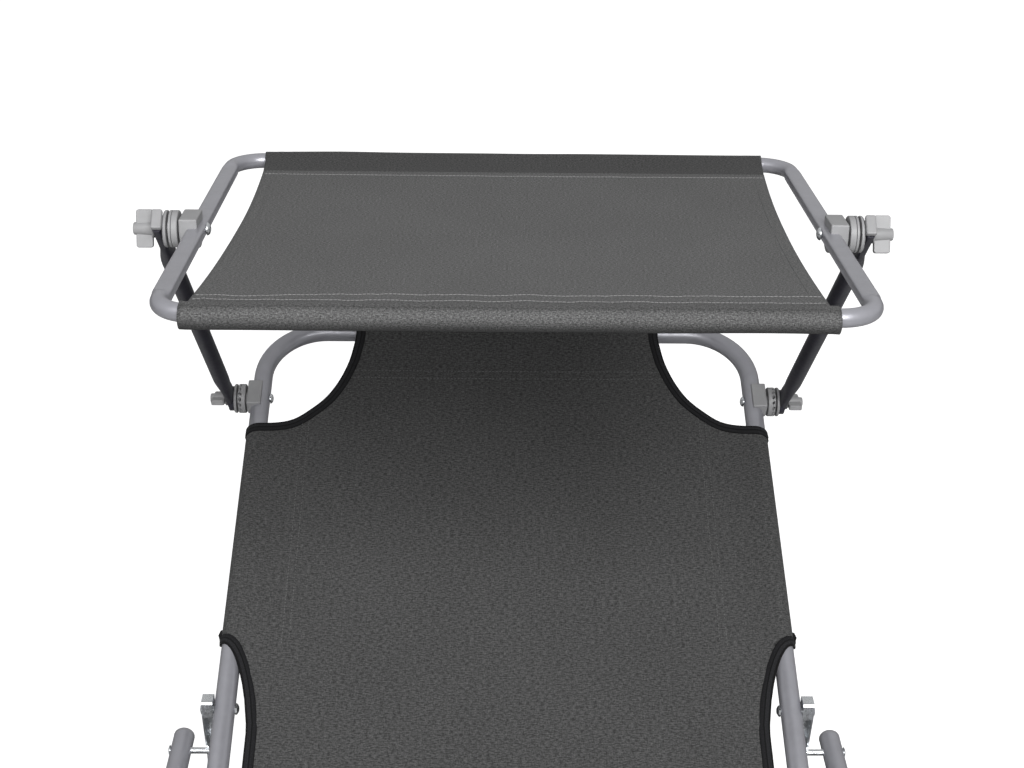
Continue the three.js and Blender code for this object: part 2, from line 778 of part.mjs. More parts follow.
// The strut hangs from its rivet at (0, 0). Its front edge, towards -Y, has the saw teeth.
function strut(sign) {
  const edge = STUD_R + FIT;
  const side = new THREE.Shape();
  side.moveTo(STRUT_BACK, STRUT_HEAD - STRUT_WALL);
  side.lineTo(STRUT_BACK - STRUT_WALL, STRUT_HEAD);
  side.lineTo(-STRUT_HEAD_FRONT + STRUT_WALL, STRUT_HEAD);
  side.lineTo(-STRUT_HEAD_FRONT, STRUT_HEAD - STRUT_WALL);
  side.lineTo(-STRUT_HEAD_FRONT, -STRUT_HEAD / 2);
  const pathEdge = (rise) => studInStrut(rise).x + edge;
  for (let i = 0; i < NOTCHES; i += 1) {
    const stud = studInStrut(i * NOTCH_PITCH);
    const front = Math.max(pathEdge(i * NOTCH_PITCH), pathEdge(i * NOTCH_PITCH - TIP_TURN));
    side.lineTo(front, stud.y + NOTCH_R);
    side.lineTo(front + NOTCH_DEPTH - NOTCH_R, stud.y + NOTCH_R);
    side.absarc(front + NOTCH_DEPTH - NOTCH_R, stud.y, NOTCH_R, QUARTER_TURN, -QUARTER_TURN, true);
  }
  const last = studInStrut((NOTCHES - 1) * NOTCH_PITCH);
  side.lineTo(last.x + edge, last.y - STRUT_TIP);
  side.lineTo(last.x + edge + STRUT_WALL, last.y - STRUT_TIP - STRUT_WALL);
  side.lineTo(STRUT_BACK - STRUT_WALL, last.y - STRUT_TIP - STRUT_WALL);
  side.lineTo(STRUT_BACK, last.y - STRUT_TIP);
  side.closePath();
  const inner = BACK_X + TUBE_R + STRUT_GAP;
  const outer = inner + STRUT_WIDTH;
  const web = STRUT_BACK - STRUT_WALL;
  const bottom = last.y - STRUT_TIP - OVERRUN;
  const channel = (front, low, high) => {
    const x = [sign * (inner + STRUT_WALL), sign * (outer - STRUT_WALL)].sort((a, b) => a - b);
    return boxBetween([x[0], front, low], [x[1], web, high]);
  };
  const below = -STRUT_HEAD / 2 - STRUT_WALL;
  return alongX(side, sign * inner, sign * outer, NOTCH_STEPS)
    .subtract(channel(-STRUT_HEAD_FRONT - OVERRUN, bottom, below))
    .subtract(channel(-STRUT_HEAD_FRONT + STRUT_WALL, below - FIT, STRUT_HEAD - STRUT_WALL))
    .subtract(rodX(RIVET_BORE_R, sign * (inner - OVERRUN), sign * (outer + OVERRUN)));
}

function strutRivet(sign) {
  const outer = BACK_X + TUBE_R + STRUT_GAP + STRUT_WIDTH;
  return turned(
    [
      ...domePoints(RIVET_HEAD_R, RIVET_HEAD, BACK_X - TUBE_R - FIT, -1).reverse(),
      [RIVET_R, BACK_X - TUBE_R - FIT],
      [RIVET_R, outer + FIT],
      ...domePoints(PIN_HEAD_R, PIN_HEAD, outer + FIT, 1),
    ],
    sign,
  );
}

// A ring of radial tooth slots in the face of a disc, from one place along X to another.
function toothSlots(from, to) {
  const slots = [];
  const slot = boxBetween(
    [Math.min(from, to), TOOTH_INNER_R, -TOOTH_SLOT / 2],
    [Math.max(from, to), DISC_R + OVERRUN, TOOTH_SLOT / 2],
  );
  for (let i = 0; i < TEETH; i += 1) slots.push(slot.rotate([(360 * i) / TEETH, 0, 0]));
  return slots.reduce((all, one) => all.add(one));
}

// The saddle on a tube, with the toothed disc of the ratchet on its outer face.
function ratchetSaddle(tubeX, tubeR, sign) {
  const side = new THREE.Shape();
  side.moveTo(SADDLE_R, SADDLE_TOP);
  side.lineTo(-SADDLE_R, SADDLE_TOP);
  side.absarc(0, 0, SADDLE_R, HALF_TURN, FULL_TURN, false);
  side.closePath();
  const disc = SADDLE_OUTER + NECK;
  const face = disc + DISC + TOOTH_DEPTH;
  const profile = [
    [0, SADDLE_OUTER - FIT],
    [NECK_R, SADDLE_OUTER - FIT],
    [NECK_R, disc],
    [DISC_R, disc],
    [DISC_R, face],
    [0, face],
  ];
  const tube = rodY(tubeR + FIT, -SADDLE_R - OVERRUN, SADDLE_R + OVERRUN);
  return alongX(side, sign * SADDLE_INNER, sign * SADDLE_OUTER)
    .subtract(tube.translate([sign * tubeX, 0, 0]))
    .add(turned(profile, sign, ROUND_SIDES))
    .subtract(toothSlots(sign * (face - TOOTH_DEPTH), sign * (face + FIT)))
    .subtract(rodX(BORE_R, sign * (SADDLE_INNER - OVERRUN), sign * (face + OVERRUN)));
}

// The arm's ring: a toothed disc that meets the saddle's, a groove and a flange.
function ratchetRing(sign) {
  const groove = RING_INNER + RING_DISC;
  const flange = groove + RING_GROOVE;
  const outer = flange + RING_FLANGE;
  const profile = [
    [0, RING_INNER],
    [DISC_R, RING_INNER],
    [DISC_R, groove],
    [RING_GROOVE_R, groove],
    [RING_GROOVE_R, flange],
    [DISC_R, flange],
    [DISC_R, outer],
    [0, outer],
  ];
  return turned(profile, sign, ROUND_SIDES)
    .subtract(toothSlots(sign * (RING_INNER - FIT), sign * (RING_INNER + TOOTH_DEPTH)))
    .subtract(rodX(BORE_R, sign * (RING_INNER - OVERRUN), sign * (outer + OVERRUN)));
}

// The arm's upper ring also carries the cap that closes the end of the arm.
function cappedRing(sign) {
  const x = [sign * (ARM_INNER - FIT * 2), sign * (ARM_INNER + ARM_PRESSED)];
  x.sort((a, b) => a - b);
  const start = ARM_TAIL + FIT;
  const cap = boxBetween([x[0], start, -ARM_CAP_HALF], [x[1], start + ARM_CAP, ARM_CAP_HALF]);
  return ratchetRing(sign).add(cap);
}

// An arm: straight tube along Y from the lower pin to the upper one, both ends pressed.
function arm(sign) {
  const half = ARM_LENGTH / 2;
  const x = sign * ARM_X;
  const lowTail = ARM_PRESSED_WIDTH / 2;
  const stops = [ARM_PRESSED_LENGTH, ARM_PRESSED_LENGTH + ARM_PRESS_RUN];
  const sweepOf = (section, radius, wall, past) => {
    const ys = [-lowTail - past, ...stops];
    ys.push(...stops.map((y) => ARM_LENGTH - y).reverse(), ARM_LENGTH + ARM_TAIL + past);
    const tube = sweep(bentRoute(ys.map((y) => [x, y]), ARM_R), section);
    const place = tube.attributes.position;
    const press = { length: ARM_PRESSED_LENGTH, run: ARM_PRESS_RUN };
    const thin = (ARM_PRESSED / 2 - wall) / radius;
    const wide = (ARM_PRESSED_WIDTH / 2 - wall) / radius;
    for (let i = 0; i < place.count; i += 1) {
      const share = pressShare(half - Math.abs(place.getY(i) - half), press);
      const inwards = sign * ARM_OUTWARD * share;
      place.setX(i, x - inwards + (place.getX(i) - x) * (1 + share * (thin - 1)));
      place.setZ(i, place.getZ(i) * (1 + share * (wide - 1)));
    }
    return solidOf(tube);
  };
  const side = ARM_PRESSED_WIDTH;
  const span = [sign * (ARM_INNER - OVERRUN), sign * (KNOB_INNER + OVERRUN)];
  const x01 = [...span].sort((a, b) => a - b);
  const end = boxBetween([x01[0], -side, -side], [x01[1], 0, side]);
  const round = rodX(ARM_PRESSED_WIDTH / 2, x01[0] - OVERRUN, x01[1] + OVERRUN, EYE_SIDES);
  const hub = rodX(ARM_HUB_R, sign * ARM_INNER, sign * (ARM_INNER + ARM_HUB), ROUND_SIDES);
  const inside = ARM_R - ARM_WALL;
  const insideSection = roundSection(insideRadius(inside), INSIDE_SIDES);
  return sweepOf(roundSection(ARM_R, TUBE_SIDES), ARM_R, 0, 0)
    .subtract(sweepOf(insideSection, inside, ARM_WALL, OVERRUN))
    .subtract(end.subtract(round))
    .add(hub)
    .subtract(rodX(BORE_R, ...span))
    .subtract(rodX(BORE_R, ...span).translate([0, ARM_LENGTH, 0]));
}

// The bolt of a ratchet: a dome on the tube's inner side and a shank that ends in the knob.
function ratchetBolt(tubeX, tubeR, sign) {
  const inner = tubeX - tubeR - FIT;
  return turned(
    [
      ...domePoints(BOLT_DOME_R, BOLT_DOME, inner, -1).reverse(),
      [BOLT_R, inner],
      [BOLT_R, BOLT_END],
      [0, BOLT_END],
    ],
    sign,
  );
}

// A knob with two wings and a blind bore for the bolt.
function wingKnob(sign, turn) {
  const top = KNOB_INNER + KNOB_LENGTH;
  const foot = KNOB_INNER + KNOB_BASE;
  const hub = turned(
    [
      [0, KNOB_INNER],
      [KNOB_BASE_R, KNOB_INNER],
      [KNOB_BASE_R, foot],
      [KNOB_HUB_R, foot],
      [KNOB_TOP_R, top - KNOB_RIM],
      [KNOB_TOP_R - KNOB_RIM, top],
      [0, top],
    ],
    sign,
    ROUND_SIDES,
  );
  const wingTop = top - WING_SHORT;
  const wing = new THREE.Shape();
  wing.moveTo(sign * foot, -WING_REACH + WING_CORNER);
  wing.lineTo(sign * (foot + WING_CORNER), -WING_REACH);
  wing.lineTo(sign * (wingTop - WING_CORNER), -WING_REACH);
  wing.lineTo(sign * wingTop, -WING_REACH + WING_CORNER);
  wing.lineTo(sign * wingTop, WING_REACH - WING_CORNER);
  wing.lineTo(sign * (wingTop - WING_CORNER), WING_REACH);
  wing.lineTo(sign * (foot + WING_CORNER), WING_REACH);
  wing.lineTo(sign * foot, WING_REACH - WING_CORNER);
  wing.closePath();
  return hub
    .add(alongZ(wing, -WING_HALF, WING_HALF))
    .subtract(rodX(BORE_R, sign * (KNOB_INNER - OVERRUN), sign * (BOLT_END + FIT)))
    .rotate([turn / DEGREE, 0, 0]);
}

// The canopy's frame: a rounded rectangle of thin tube, butted in the middle of the rear bar.
function canopyFrame() {
  const gap = CANOPY_JOINT / 2;
  const rearPress = CANOPY_REAR - CANOPY_BEND - CANOPY_PRESS_RUN;
  const frontPress = -CANOPY_FRONT + CANOPY_BEND + CANOPY_PRESS_RUN;
  const points = [
    [-gap, CANOPY_REAR],
    [-CANOPY_X, CANOPY_REAR],
    [-CANOPY_X, rearPress],
    [-CANOPY_X, frontPress],
    [-CANOPY_X, -CANOPY_FRONT],
    [CANOPY_X, -CANOPY_FRONT],
    [CANOPY_X, frontPress],
    [CANOPY_X, rearPress],
    [CANOPY_X, CANOPY_REAR],
    [gap, CANOPY_REAR],
  ];
  const inside = insideRadius(CANOPY_R - CANOPY_WALL);
  const sweepOf = (radius, sides, wall) => {
    const tube = sweep(bentRoute(points, CANOPY_BEND), roundSection(radius, sides));
    const place = tube.attributes.position;
    const flat = (CANOPY_PRESSED / 2 - wall) / (CANOPY_R - wall);
    for (let i = 0; i < place.count; i += 1) {
      const y = place.getY(i);
      const pressed = y < rearPress + FIT && y > frontPress - FIT;
      if (pressed) place.setZ(i, place.getZ(i) * flat);
    }
    return solidOf(tube);
  };
  const reach = CANOPY_X + CANOPY_R + OVERRUN;
  const mouth = alongX(roundSection(inside, INSIDE_SIDES), -CANOPY_JOINT, CANOPY_JOINT);
  return sweepOf(CANOPY_R, TUBE_SIDES, 0)
    .subtract(sweepOf(inside, INSIDE_SIDES, CANOPY_WALL))
    .subtract(mouth.translate([0, CANOPY_REAR, 0]))
    .subtract(rodX(BORE_R, -reach, reach));
}

// The canopy's cloth: a taut sheet with drawn-in sides and a sleeve round each bar.
function canopySheet() {
  const half = CANOPY_CLOTH / 2;
  const drop = CANOPY_SLEEVE_R * Math.cos(HALF_TURN / SLEEVE_SIDES) - CANOPY_R - FIT;
  const front = -CANOPY_FRONT;
  const rear = CANOPY_REAR;
  const past = CANOPY_SLEEVE_R + CANOPY_CLOTH + CLOTH_TRIM;
  const middle = (front + rear) / 2;
  const outline = new THREE.Shape();
  outline.moveTo(CANOPY_CLOTH_FRONT, front - past);
  outline.quadraticCurveTo(CANOPY_CLOTH_MIDDLE, middle, CANOPY_CLOTH_REAR, rear + past);
  outline.lineTo(-CANOPY_CLOTH_REAR, rear + past);
  outline.quadraticCurveTo(-CANOPY_CLOTH_MIDDLE, middle, -CANOPY_CLOTH_FRONT, front - past);
  outline.closePath();
  const frontSeam = front + CANOPY_SEAM_FRONT;
  const rearSeam = rear - CANOPY_SEAM_REAR;
  const reach = CANOPY_X;
  const tall = CANOPY_SLEEVE_R + OVERRUN;
  const sleeve = (bar, seam) =>
    barSleeve(bar, seam, reach, CANOPY_SLEEVE_R, CANOPY_CLOTH, drop);
  return boxBetween(
    [-reach, frontSeam - CANOPY_CLOTH, -half],
    [reach, rearSeam + CANOPY_CLOTH, half],
  )
    .add(sleeve(front, frontSeam))
    .add(sleeve(rear, rearSeam))
    .intersect(alongZ(outline, -tall, tall));
}

// A foot sleeve round the leg's bar, flat where it stands on the ground.
function footSleeve(x) {
  const from = x - SLEEVE_LENGTH / 2;
  const to = x + SLEEVE_LENGTH / 2;
  const ground = boxBetween(
    [from - OVERRUN, -SLEEVE_R - OVERRUN, -SLEEVE_R - OVERRUN],
    [to + OVERRUN, SLEEVE_R + OVERRUN, -BAR_Z],
  );
  return rodX(SLEEVE_R, from, to, ROUND_SIDES)
    .subtract(rodX(roomFor(TUBE_R, TUBE_SIDES), from - OVERRUN, to + OVERRUN, TUBE_SIDES))
    .subtract(ground);
}

// A U-shaped leg on its pins, pointing down at an angle from +Y, with its two foot sleeves.
function addLeg(parent, name, halfWidth, y, angle, facing) {
  const leg = addGroup(parent, y, -LEG_PIN_DROP, angle);
  const length = (LEG_PIN_Z - BAR_Z) / -Math.sin(angle);
  addPiece(leg, `${name}_leg_tube`, uFrame(halfWidth, length, LEG_PRESS), paint);
  const bar = addGroup(leg, length, 0, -angle);
  const sleeveX = halfWidth - TUBE_BEND - SLEEVE_LENGTH / 2 - SLEEVE_FROM_BEND;
  for (const { name: side, sign } of SIDES)
    addPiece(bar, `${name}_leg_foot_${side}`, footSleeve(facing * sign * sleeveX), capPlastic);
}

const FRAME_PRESS = {
  thickness: PRESSED_THICKNESS,
  width: PRESSED_WIDTH,
  length: PRESSED_LENGTH,
  run: PRESS_RUN,
  bore: BORE_R,
};
const LEG_PRESS = { ...FRAME_PRESS, bore: roomFor(LEG_PIN_R, SMALL_SIDES) };

const lounger = new THREE.Group();
lounger.name = "sun_lounger_with_canopy";
const seat = addGroup(lounger, 0, RAIL_Z, 0);
const backrest = addGroup(seat, 0, 0, BACK_ANGLE);
const arms = addGroup(backrest, RATCHET_S, 0, ARM_ANGLE);
const canopyTurn = CANOPY_TILT - BACK_ANGLE - ARM_ANGLE;
const canopy = addGroup(arms, ARM_LENGTH, 0, canopyTurn);
const footSection = addGroup(seat, FOOT_HINGE_Y, 0, 0);
footSection.rotation.z = HALF_TURN;

addPiece(seat, "seat_cloth", seatCloth(), cloth);
addPiece(backrest, "backrest_cloth", sectionCloth(BACK_LENGTH), cloth);
addPiece(footSection, "foot_cloth", sectionCloth(FOOT_LENGTH), cloth);
addPiece(canopy, "canopy_cloth", canopySheet(), canopyCloth);

const backTube = uFrame(BACK_X, BACK_LENGTH, FRAME_PRESS);
const acrossBack = BACK_X + TUBE_R + OVERRUN;
addPiece(
  backrest,
  "backrest_tube",
  backTube
    .subtract(rodX(RIVET_BORE_R, -acrossBack, acrossBack).translate([0, RIVET_S, 0]))
    .subtract(rodX(BORE_R, -acrossBack, acrossBack).translate([0, RATCHET_S, 0])),
  paint,
);
addPiece(footSection, "foot_section_tube", uFrame(BACK_X, FOOT_LENGTH, FRAME_PRESS), paint);
addPiece(canopy, "canopy_tube", canopyFrame(), paint);

for (const [index, { name, sign }] of SIDES.entries()) {
  addPiece(seat, `seat_rail_${name}`, rail(sign), paint);
  const headCap = endCap().translate([sign * RAIL_X, RAIL_PAST_HEAD, 0]);
  addPiece(seat, `rail_cap_head_${name}`, headCap, capPlastic);
  const footEnd = [sign * RAIL_X, FOOT_HINGE_Y - RAIL_PAST_FOOT, 0];
  const footCap = endCap().rotate([0, 0, 180]).translate(footEnd);
  addPiece(seat, `rail_cap_foot_${name}`, footCap, capPlastic);
  addPiece(seat, `head_hinge_bolt_${name}`, hingeBolt(sign), zinc);
  addPiece(seat, `head_hinge_spacer_${name}`, spacer(sign), plastic);
  const footHinge = [0, FOOT_HINGE_Y, 0];
  addPiece(seat, `foot_hinge_bolt_${name}`, hingeBolt(sign).translate(footHinge), zinc);
  addPiece(seat, `foot_hinge_spacer_${name}`, spacer(sign).translate(footHinge), plastic);
  const studPlace = [0, STUD_FROM_HINGE, 0];
  addPiece(seat, `catch_stud_${name}`, catchStud(sign).translate(studPlace), zinc);
  const rearPlace = [sign * RAIL_X, REAR_LEG_Y, 0];
  addPiece(seat, `rear_leg_bracket_${name}`, legBracket().translate(rearPlace), paint);
  const frontPlace = [sign * RAIL_X, FOOT_HINGE_Y + FRONT_LEG_FROM_FOOT, 0];
  addPiece(seat, `front_leg_bracket_${name}`, legBracket().translate(frontPlace), paint);
  const footPlace = [-sign * BACK_X, FOOT_LEG_S, 0];
  addPiece(footSection, `foot_leg_bracket_${name}`, legBracket().translate(footPlace), paint);

  const strutGroup = addGroup(backrest, RIVET_S, 0, -BACK_ANGLE);
  addPiece(strutGroup, `support_strut_${name}`, strut(sign), zinc);
  const rivetSolid = strutRivet(sign).translate([0, RIVET_S, 0]);
  addPiece(backrest, `strut_rivet_${name}`, rivetSolid, zinc);

  const lower = [0, RATCHET_S, 0];
  const lowerSaddle = ratchetSaddle(BACK_X, TUBE_R, sign).translate(lower);
  addPiece(backrest, `lower_ratchet_saddle_${name}`, lowerSaddle, plastic);
  const lowerBolt = ratchetBolt(BACK_X, TUBE_R, sign).translate(lower);
  addPiece(backrest, `lower_ratchet_bolt_${name}`, lowerBolt, zinc);
  addPiece(arms, `lower_ratchet_ring_${name}`, ratchetRing(sign), plastic);
  addPiece(arms, `canopy_arm_${name}`, arm(sign), darkPaint);
  const upper = [0, ARM_LENGTH, 0];
  addPiece(arms, `upper_ratchet_ring_${name}`, cappedRing(sign).translate(upper), plastic);
  const turns = KNOB_TURNS[index];
  addPiece(arms, `lower_wing_knob_${name}`, wingKnob(sign, turns.low), plastic);
  const upperKnob = wingKnob(sign, turns.high).translate(upper);
  addPiece(arms, `upper_wing_knob_${name}`, upperKnob, plastic);
  addPiece(
    canopy,
    `upper_ratchet_saddle_${name}`,
    ratchetSaddle(CANOPY_X, CANOPY_R, sign),
    plastic,
  );
  addPiece(
    canopy,
    `upper_ratchet_bolt_${name}`,
    ratchetBolt(CANOPY_X, CANOPY_R, sign),
    zinc,
  );
}

const frontLegY = FOOT_HINGE_Y + FRONT_LEG_FROM_FOOT;
addLeg(seat, "rear", RAIL_X, REAR_LEG_Y, REAR_LEG_SPLAY - QUARTER_TURN, 1);
addLeg(seat, "front", RAIL_X, frontLegY, -FRONT_LEG_SPLAY - QUARTER_TURN, 1);
addLeg(footSection, "foot", BACK_X, FOOT_LEG_S, FOOT_LEG_SPLAY - QUARTER_TURN, -1);

// The origin is on the ground, at the middle of the lounger's footprint.
const extent = new THREE.Box3().setFromObject(lounger, true);
lounger.position.set(0, -(extent.min.y + extent.max.y) / 2, -extent.min.z);

export default lounger;
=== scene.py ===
"""Looks of a folding sun lounger with a tilting canopy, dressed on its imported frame.

Lengths are in metres. +X is to the right seen from the foot end, +Y points to the head end and
+Z is up. Each sub-assembly builds its pieces in its own frame and places them in their meshes.
"""

from __future__ import annotations

import json
import logging
import math
from collections.abc import Callable, Sequence
from dataclasses import dataclass, field
from enum import Enum

import bmesh
import bpy
from mathutils import Matrix, Vector, noise

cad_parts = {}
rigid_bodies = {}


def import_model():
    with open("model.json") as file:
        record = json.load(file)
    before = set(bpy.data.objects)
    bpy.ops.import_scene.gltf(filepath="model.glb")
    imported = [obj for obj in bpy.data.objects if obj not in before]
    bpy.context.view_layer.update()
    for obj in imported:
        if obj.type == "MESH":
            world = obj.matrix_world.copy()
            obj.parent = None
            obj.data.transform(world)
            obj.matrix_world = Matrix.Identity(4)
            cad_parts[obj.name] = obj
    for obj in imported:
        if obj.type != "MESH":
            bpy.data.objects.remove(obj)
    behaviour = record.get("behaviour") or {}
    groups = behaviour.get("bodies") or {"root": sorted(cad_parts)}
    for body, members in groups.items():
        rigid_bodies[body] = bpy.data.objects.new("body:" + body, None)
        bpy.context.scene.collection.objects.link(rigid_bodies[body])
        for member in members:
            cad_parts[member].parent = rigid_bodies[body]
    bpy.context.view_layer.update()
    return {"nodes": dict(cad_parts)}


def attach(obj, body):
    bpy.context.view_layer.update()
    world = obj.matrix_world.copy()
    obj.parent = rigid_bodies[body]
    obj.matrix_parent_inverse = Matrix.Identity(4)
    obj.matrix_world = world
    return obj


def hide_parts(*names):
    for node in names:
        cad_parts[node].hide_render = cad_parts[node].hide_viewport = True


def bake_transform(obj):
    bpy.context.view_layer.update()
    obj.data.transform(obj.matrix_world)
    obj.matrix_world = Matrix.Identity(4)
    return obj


LOG = logging.getLogger("lounger")
FIT = 0.0003
UP = Vector((0, 0, 1))

Pair = tuple[float, float]
Triple = tuple[float, float, float]
Spot = tuple[Vector, Pair]
Rows = list[list[Spot]]
Socket = bpy.types.NodeSocket


class Side(Enum):
    """The two sides of the lounger, seen from the foot end."""

    LEFT = -1
    RIGHT = 1

    @property
    def word(self) -> str:
        """The side's word in the names of nodes and pieces."""
        return self.name.lower()


@dataclass(frozen=True)
class Layout:
    """Where the joints are, and the angles of the photographed pose."""

    hinge_y: float = 0.4017349
    rail_z: float = 0.261
    rail_x: float = 0.281
    rail_past_head: float = 0.1275
    rail_past_foot: float = 0.030
    seat_length: float = 0.600
    back_x: float = 0.241
    back_length: float = 0.5515
    foot_length: float = 0.720
    back_angle: float = math.radians(20.5)
    tube_r: float = 0.009
    tube_bend: float = 0.060
    ratchet_s: float = 0.4642
    arm_angle: float = math.radians(110.0)
    arm_length: float = 0.389
    canopy_slope: float = math.radians(-7.3)
    stud_from_hinge: float = 0.1116
    leg_pin_drop: float = 0.024
    bar_z: float = 0.011
    rear_leg_y: float = 0.050
    front_leg_y: float = -0.550
    foot_leg_s: float = 0.640

    def seat(self) -> Matrix:
        """The seat's frame: the head hinge line, with +Y towards the head end."""
        return Matrix.Translation((0, self.hinge_y, self.rail_z))

    def back(self) -> Matrix:
        """The backrest's frame: +Y runs up along its side tubes."""
        return self.seat() @ Matrix.Rotation(self.back_angle, 4, "X")

    def foot(self) -> Matrix:
        """The foot section's frame: the foot hinge line, with +Y towards the foot end."""
        shift = Matrix.Translation((0, -self.seat_length, 0))
        return self.seat() @ shift @ Matrix.Rotation(math.pi, 4, "Z")

    def arms(self) -> Matrix:
        """The canopy arms' frame: +Y runs from the lower to the upper ratchets."""
        shift = Matrix.Translation((0, self.ratchet_s, 0))
        return self.back() @ shift @ Matrix.Rotation(self.arm_angle, 4, "X")

    def canopy(self) -> Matrix:
        """The canopy's frame: the upper ratchet axis, with +Y towards the rear bar."""
        turn = self.canopy_slope - self.back_angle - self.arm_angle
        shift = Matrix.Translation((0, self.arm_length, 0))
        return self.arms() @ shift @ Matrix.Rotation(turn, 4, "X")

    def leg(self, parent: Matrix, y: float, angle: float) -> Matrix:
        """A leg's frame on its pins, with +Y down along the leg."""
        shift = Matrix.Translation((0, y, -self.leg_pin_drop))
        return parent @ shift @ Matrix.Rotation(angle, 4, "X")


LAYOUT = Layout()


# Shapes


@dataclass
class Shell:
    """Points and faces of a surface in a sub-assembly's own frame, with a flat-cloth map."""

    points: list[Vector] = field(default_factory=list)
    faces: list[tuple[int, ...]] = field(default_factory=list)
    flat: list[Pair] = field(default_factory=list)

    def join(self, other: Shell) -> None:
        """Adds another surface's points and faces to this one.

        Args:
            other: The surface to add.
        """
        start = len(self.points)
        self.points.extend(other.points)
        self.flat.extend(other.flat)
        self.faces.extend(tuple(i + start for i in face) for face in other.faces)


def turned(profile: Sequence[Pair], sign: int = 1, segments: int = 40) -> Shell:
    """A closed solid turned about the X axis.

    Args:
        profile: Pairs of radius and place along X, from one end on the axis to the other.
        sign: -1 mirrors the profile along X.
        segments: How many facets the turning has.

    Returns:
        The surface, with faces that point outwards once recalculated.
    """
    shell = Shell()
    rings: list[list[int]] = []
    for radius, along in profile:
        if radius < 1e-7:
            rings.append([len(shell.points)])
            shell.points.append(Vector((along * sign, 0, 0)))
            continue
        rings.append(list(range(len(shell.points), len(shell.points) + segments)))
        for i in range(segments):
            angle = math.tau * i / segments
            shell.points.append(
                Vector((along * sign, radius * math.cos(angle), radius * math.sin(angle)))
            )
    for low, high in zip(rings, rings[1:]):
        for i in range(segments):
            a, b = low[i % len(low)], low[(i + 1) % len(low)]
            c, d = high[(i + 1) % len(high)], high[i % len(high)]
            corner = tuple(dict.fromkeys((a, b, c, d)))
            if len(corner) > 2:
                shell.faces.append(corner)
    return shell


def dome(radius: float, height: float, base: float, outwards: int, steps: int = 7) -> list[Pair]:
    """Profile points of a domed head, from its rim to its top.

    Args:
        radius: The rim's radius.
        height: How far the dome stands above its base.
        base: The rim's place along X.
        outwards: 1 where the dome points to +X, -1 where it points to -X.
        steps: How many bands the dome has.

    Returns:
        Pairs of radius and place along X.
    """
    points = []
    for i in range(steps + 1):
        angle = math.pi / 2 * i / steps
        reach = radius * math.cos(angle) if i < steps else 0.0
        points.append((reach, base + outwards * height * math.sin(angle)))
    return points


def prism(outline: Sequence[Pair], low: float, high: float) -> Shell:
    """A solid whose outline is drawn in (Y, Z) and carried along X.

    Args:
        outline: The outline's corners.
        low: Where the solid starts along X.
        high: Where it ends.

    Returns:
        The surface.
    """
    count = len(outline)
    shell = Shell([Vector((x, y, z)) for x in (low, high) for y, z in outline])
    shell.faces.append(tuple(range(count)))
    shell.faces.append(tuple(range(2 * count - 1, count - 1, -1)))
    for i in range(count):
        j = (i + 1) % count
        shell.faces.append((i, i + count, j + count, j))
    return shell


def arc(centre: Pair, radius: float, start: float, end: float, steps: int) -> list[Pair]:
    """Points on an arc, with its angles in degrees."""
    angles = [math.radians(start + (end - start) * i / steps) for i in range(steps + 1)]
    return [(centre[0] + radius * math.cos(a), centre[1] + radius * math.sin(a)) for a in angles]


def ring_faces(rings: int, sides: int, closed: bool = False) -> list[tuple[int, ...]]:
    """Faces between rings of points that follow each other.

    Args:
        rings: How many rings there are.
        sides: How many points each ring has.
        closed: Whether the last ring joins the first one.

    Returns:
        The faces, with one over each end unless the rings are closed.
    """
    faces = []
    for i in range(rings if closed else rings - 1):
        a, b = i * sides, (i + 1) % rings * sides
        for k in range(sides):
            n = (k + 1) % sides
            faces.append((a + k, a + n, b + n, b + k))
    if not closed:
        faces.append(tuple(range(sides)))
        faces.append(tuple(range(rings * sides - 1, (rings - 1) * sides - 1, -1)))
    return faces


def swept(
    path: Sequence[Vector],
    normal: Vector,
    section: Callable[[int], Sequence[Pair]],
    closed: bool = False,
) -> Shell:
    """A solid swept along a path that lies in a plane.

    Args:
        path: The centreline's points.
        normal: The plane's normal.
        section: Gives the cross-section at a point as pairs of (across, along the normal).
        closed: Whether the path meets its own start.

    Returns:
        The surface, capped at both ends unless the path is closed.
    """
    shell = Shell()
    count = len(path)
    for i, p in enumerate(path):
        before = path[i - 1] if i or closed else path[0]
        after = path[(i + 1) % count] if i + 1 < count or closed else path[-1]
        tangent = (after - before).normalized()
        across = tangent.cross(normal)
        shell.points.extend(p + across * u + normal * v for u, v in section(i))
    shell.faces = ring_faces(count, len(section(0)), closed)
    return shell


def ellipse(across: float, up: float, sides: int = 32) -> list[Pair]:
    """A round or flattened tube's cross-section."""
    angles = [math.tau * i / sides for i in range(sides)]
    return [(across * math.cos(a), up * math.sin(a)) for a in angles]


def flattened(
    half_across: float, half_up: float, share: float, radius: float, sides: int = 32
) -> list[Pair]:
    """A tube's cross-section where it is pressed by a share, with flat sides and round edges.

    Args:
        half_across: Half the pressed thickness.
        half_up: Half the pressed width.
        share: 0 on the round tube and 1 where it is fully pressed.
        radius: The round tube's radius.
        sides: How many points the section has.

    Returns:
        Pairs of (across, along the normal).
    """
    points = []
    power = 1 - 0.62 * share
    for i in range(sides):
        angle = math.tau * i / sides
        c, s = math.cos(angle), math.sin(angle)
        round_u, round_v = radius * c, radius * s
        flat_u = half_across * math.copysign(abs(c) ** power, c)
        flat_v = half_up * s
        points.append((round_u + (flat_u - round_u) * share, round_v + (flat_v - round_v) * share))
    return points


def round_end(half: float, y: float) -> float:
    """Half the width of a pressed end at a place along it, rounded before its pin."""
    return math.sqrt(max(half**2 - y**2, 1e-8)) if y < 0 else half


def smooth(t: float) -> float:
    """0 below 0, 1 above 1 and a soft step between."""
    t = min(1.0, max(0.0, t))
    return t * t * (3 - 2 * t)


def belly(t: float) -> float:
    """0 at both ends of a span and 1 in its middle."""
    return 4 * t * (1 - t)


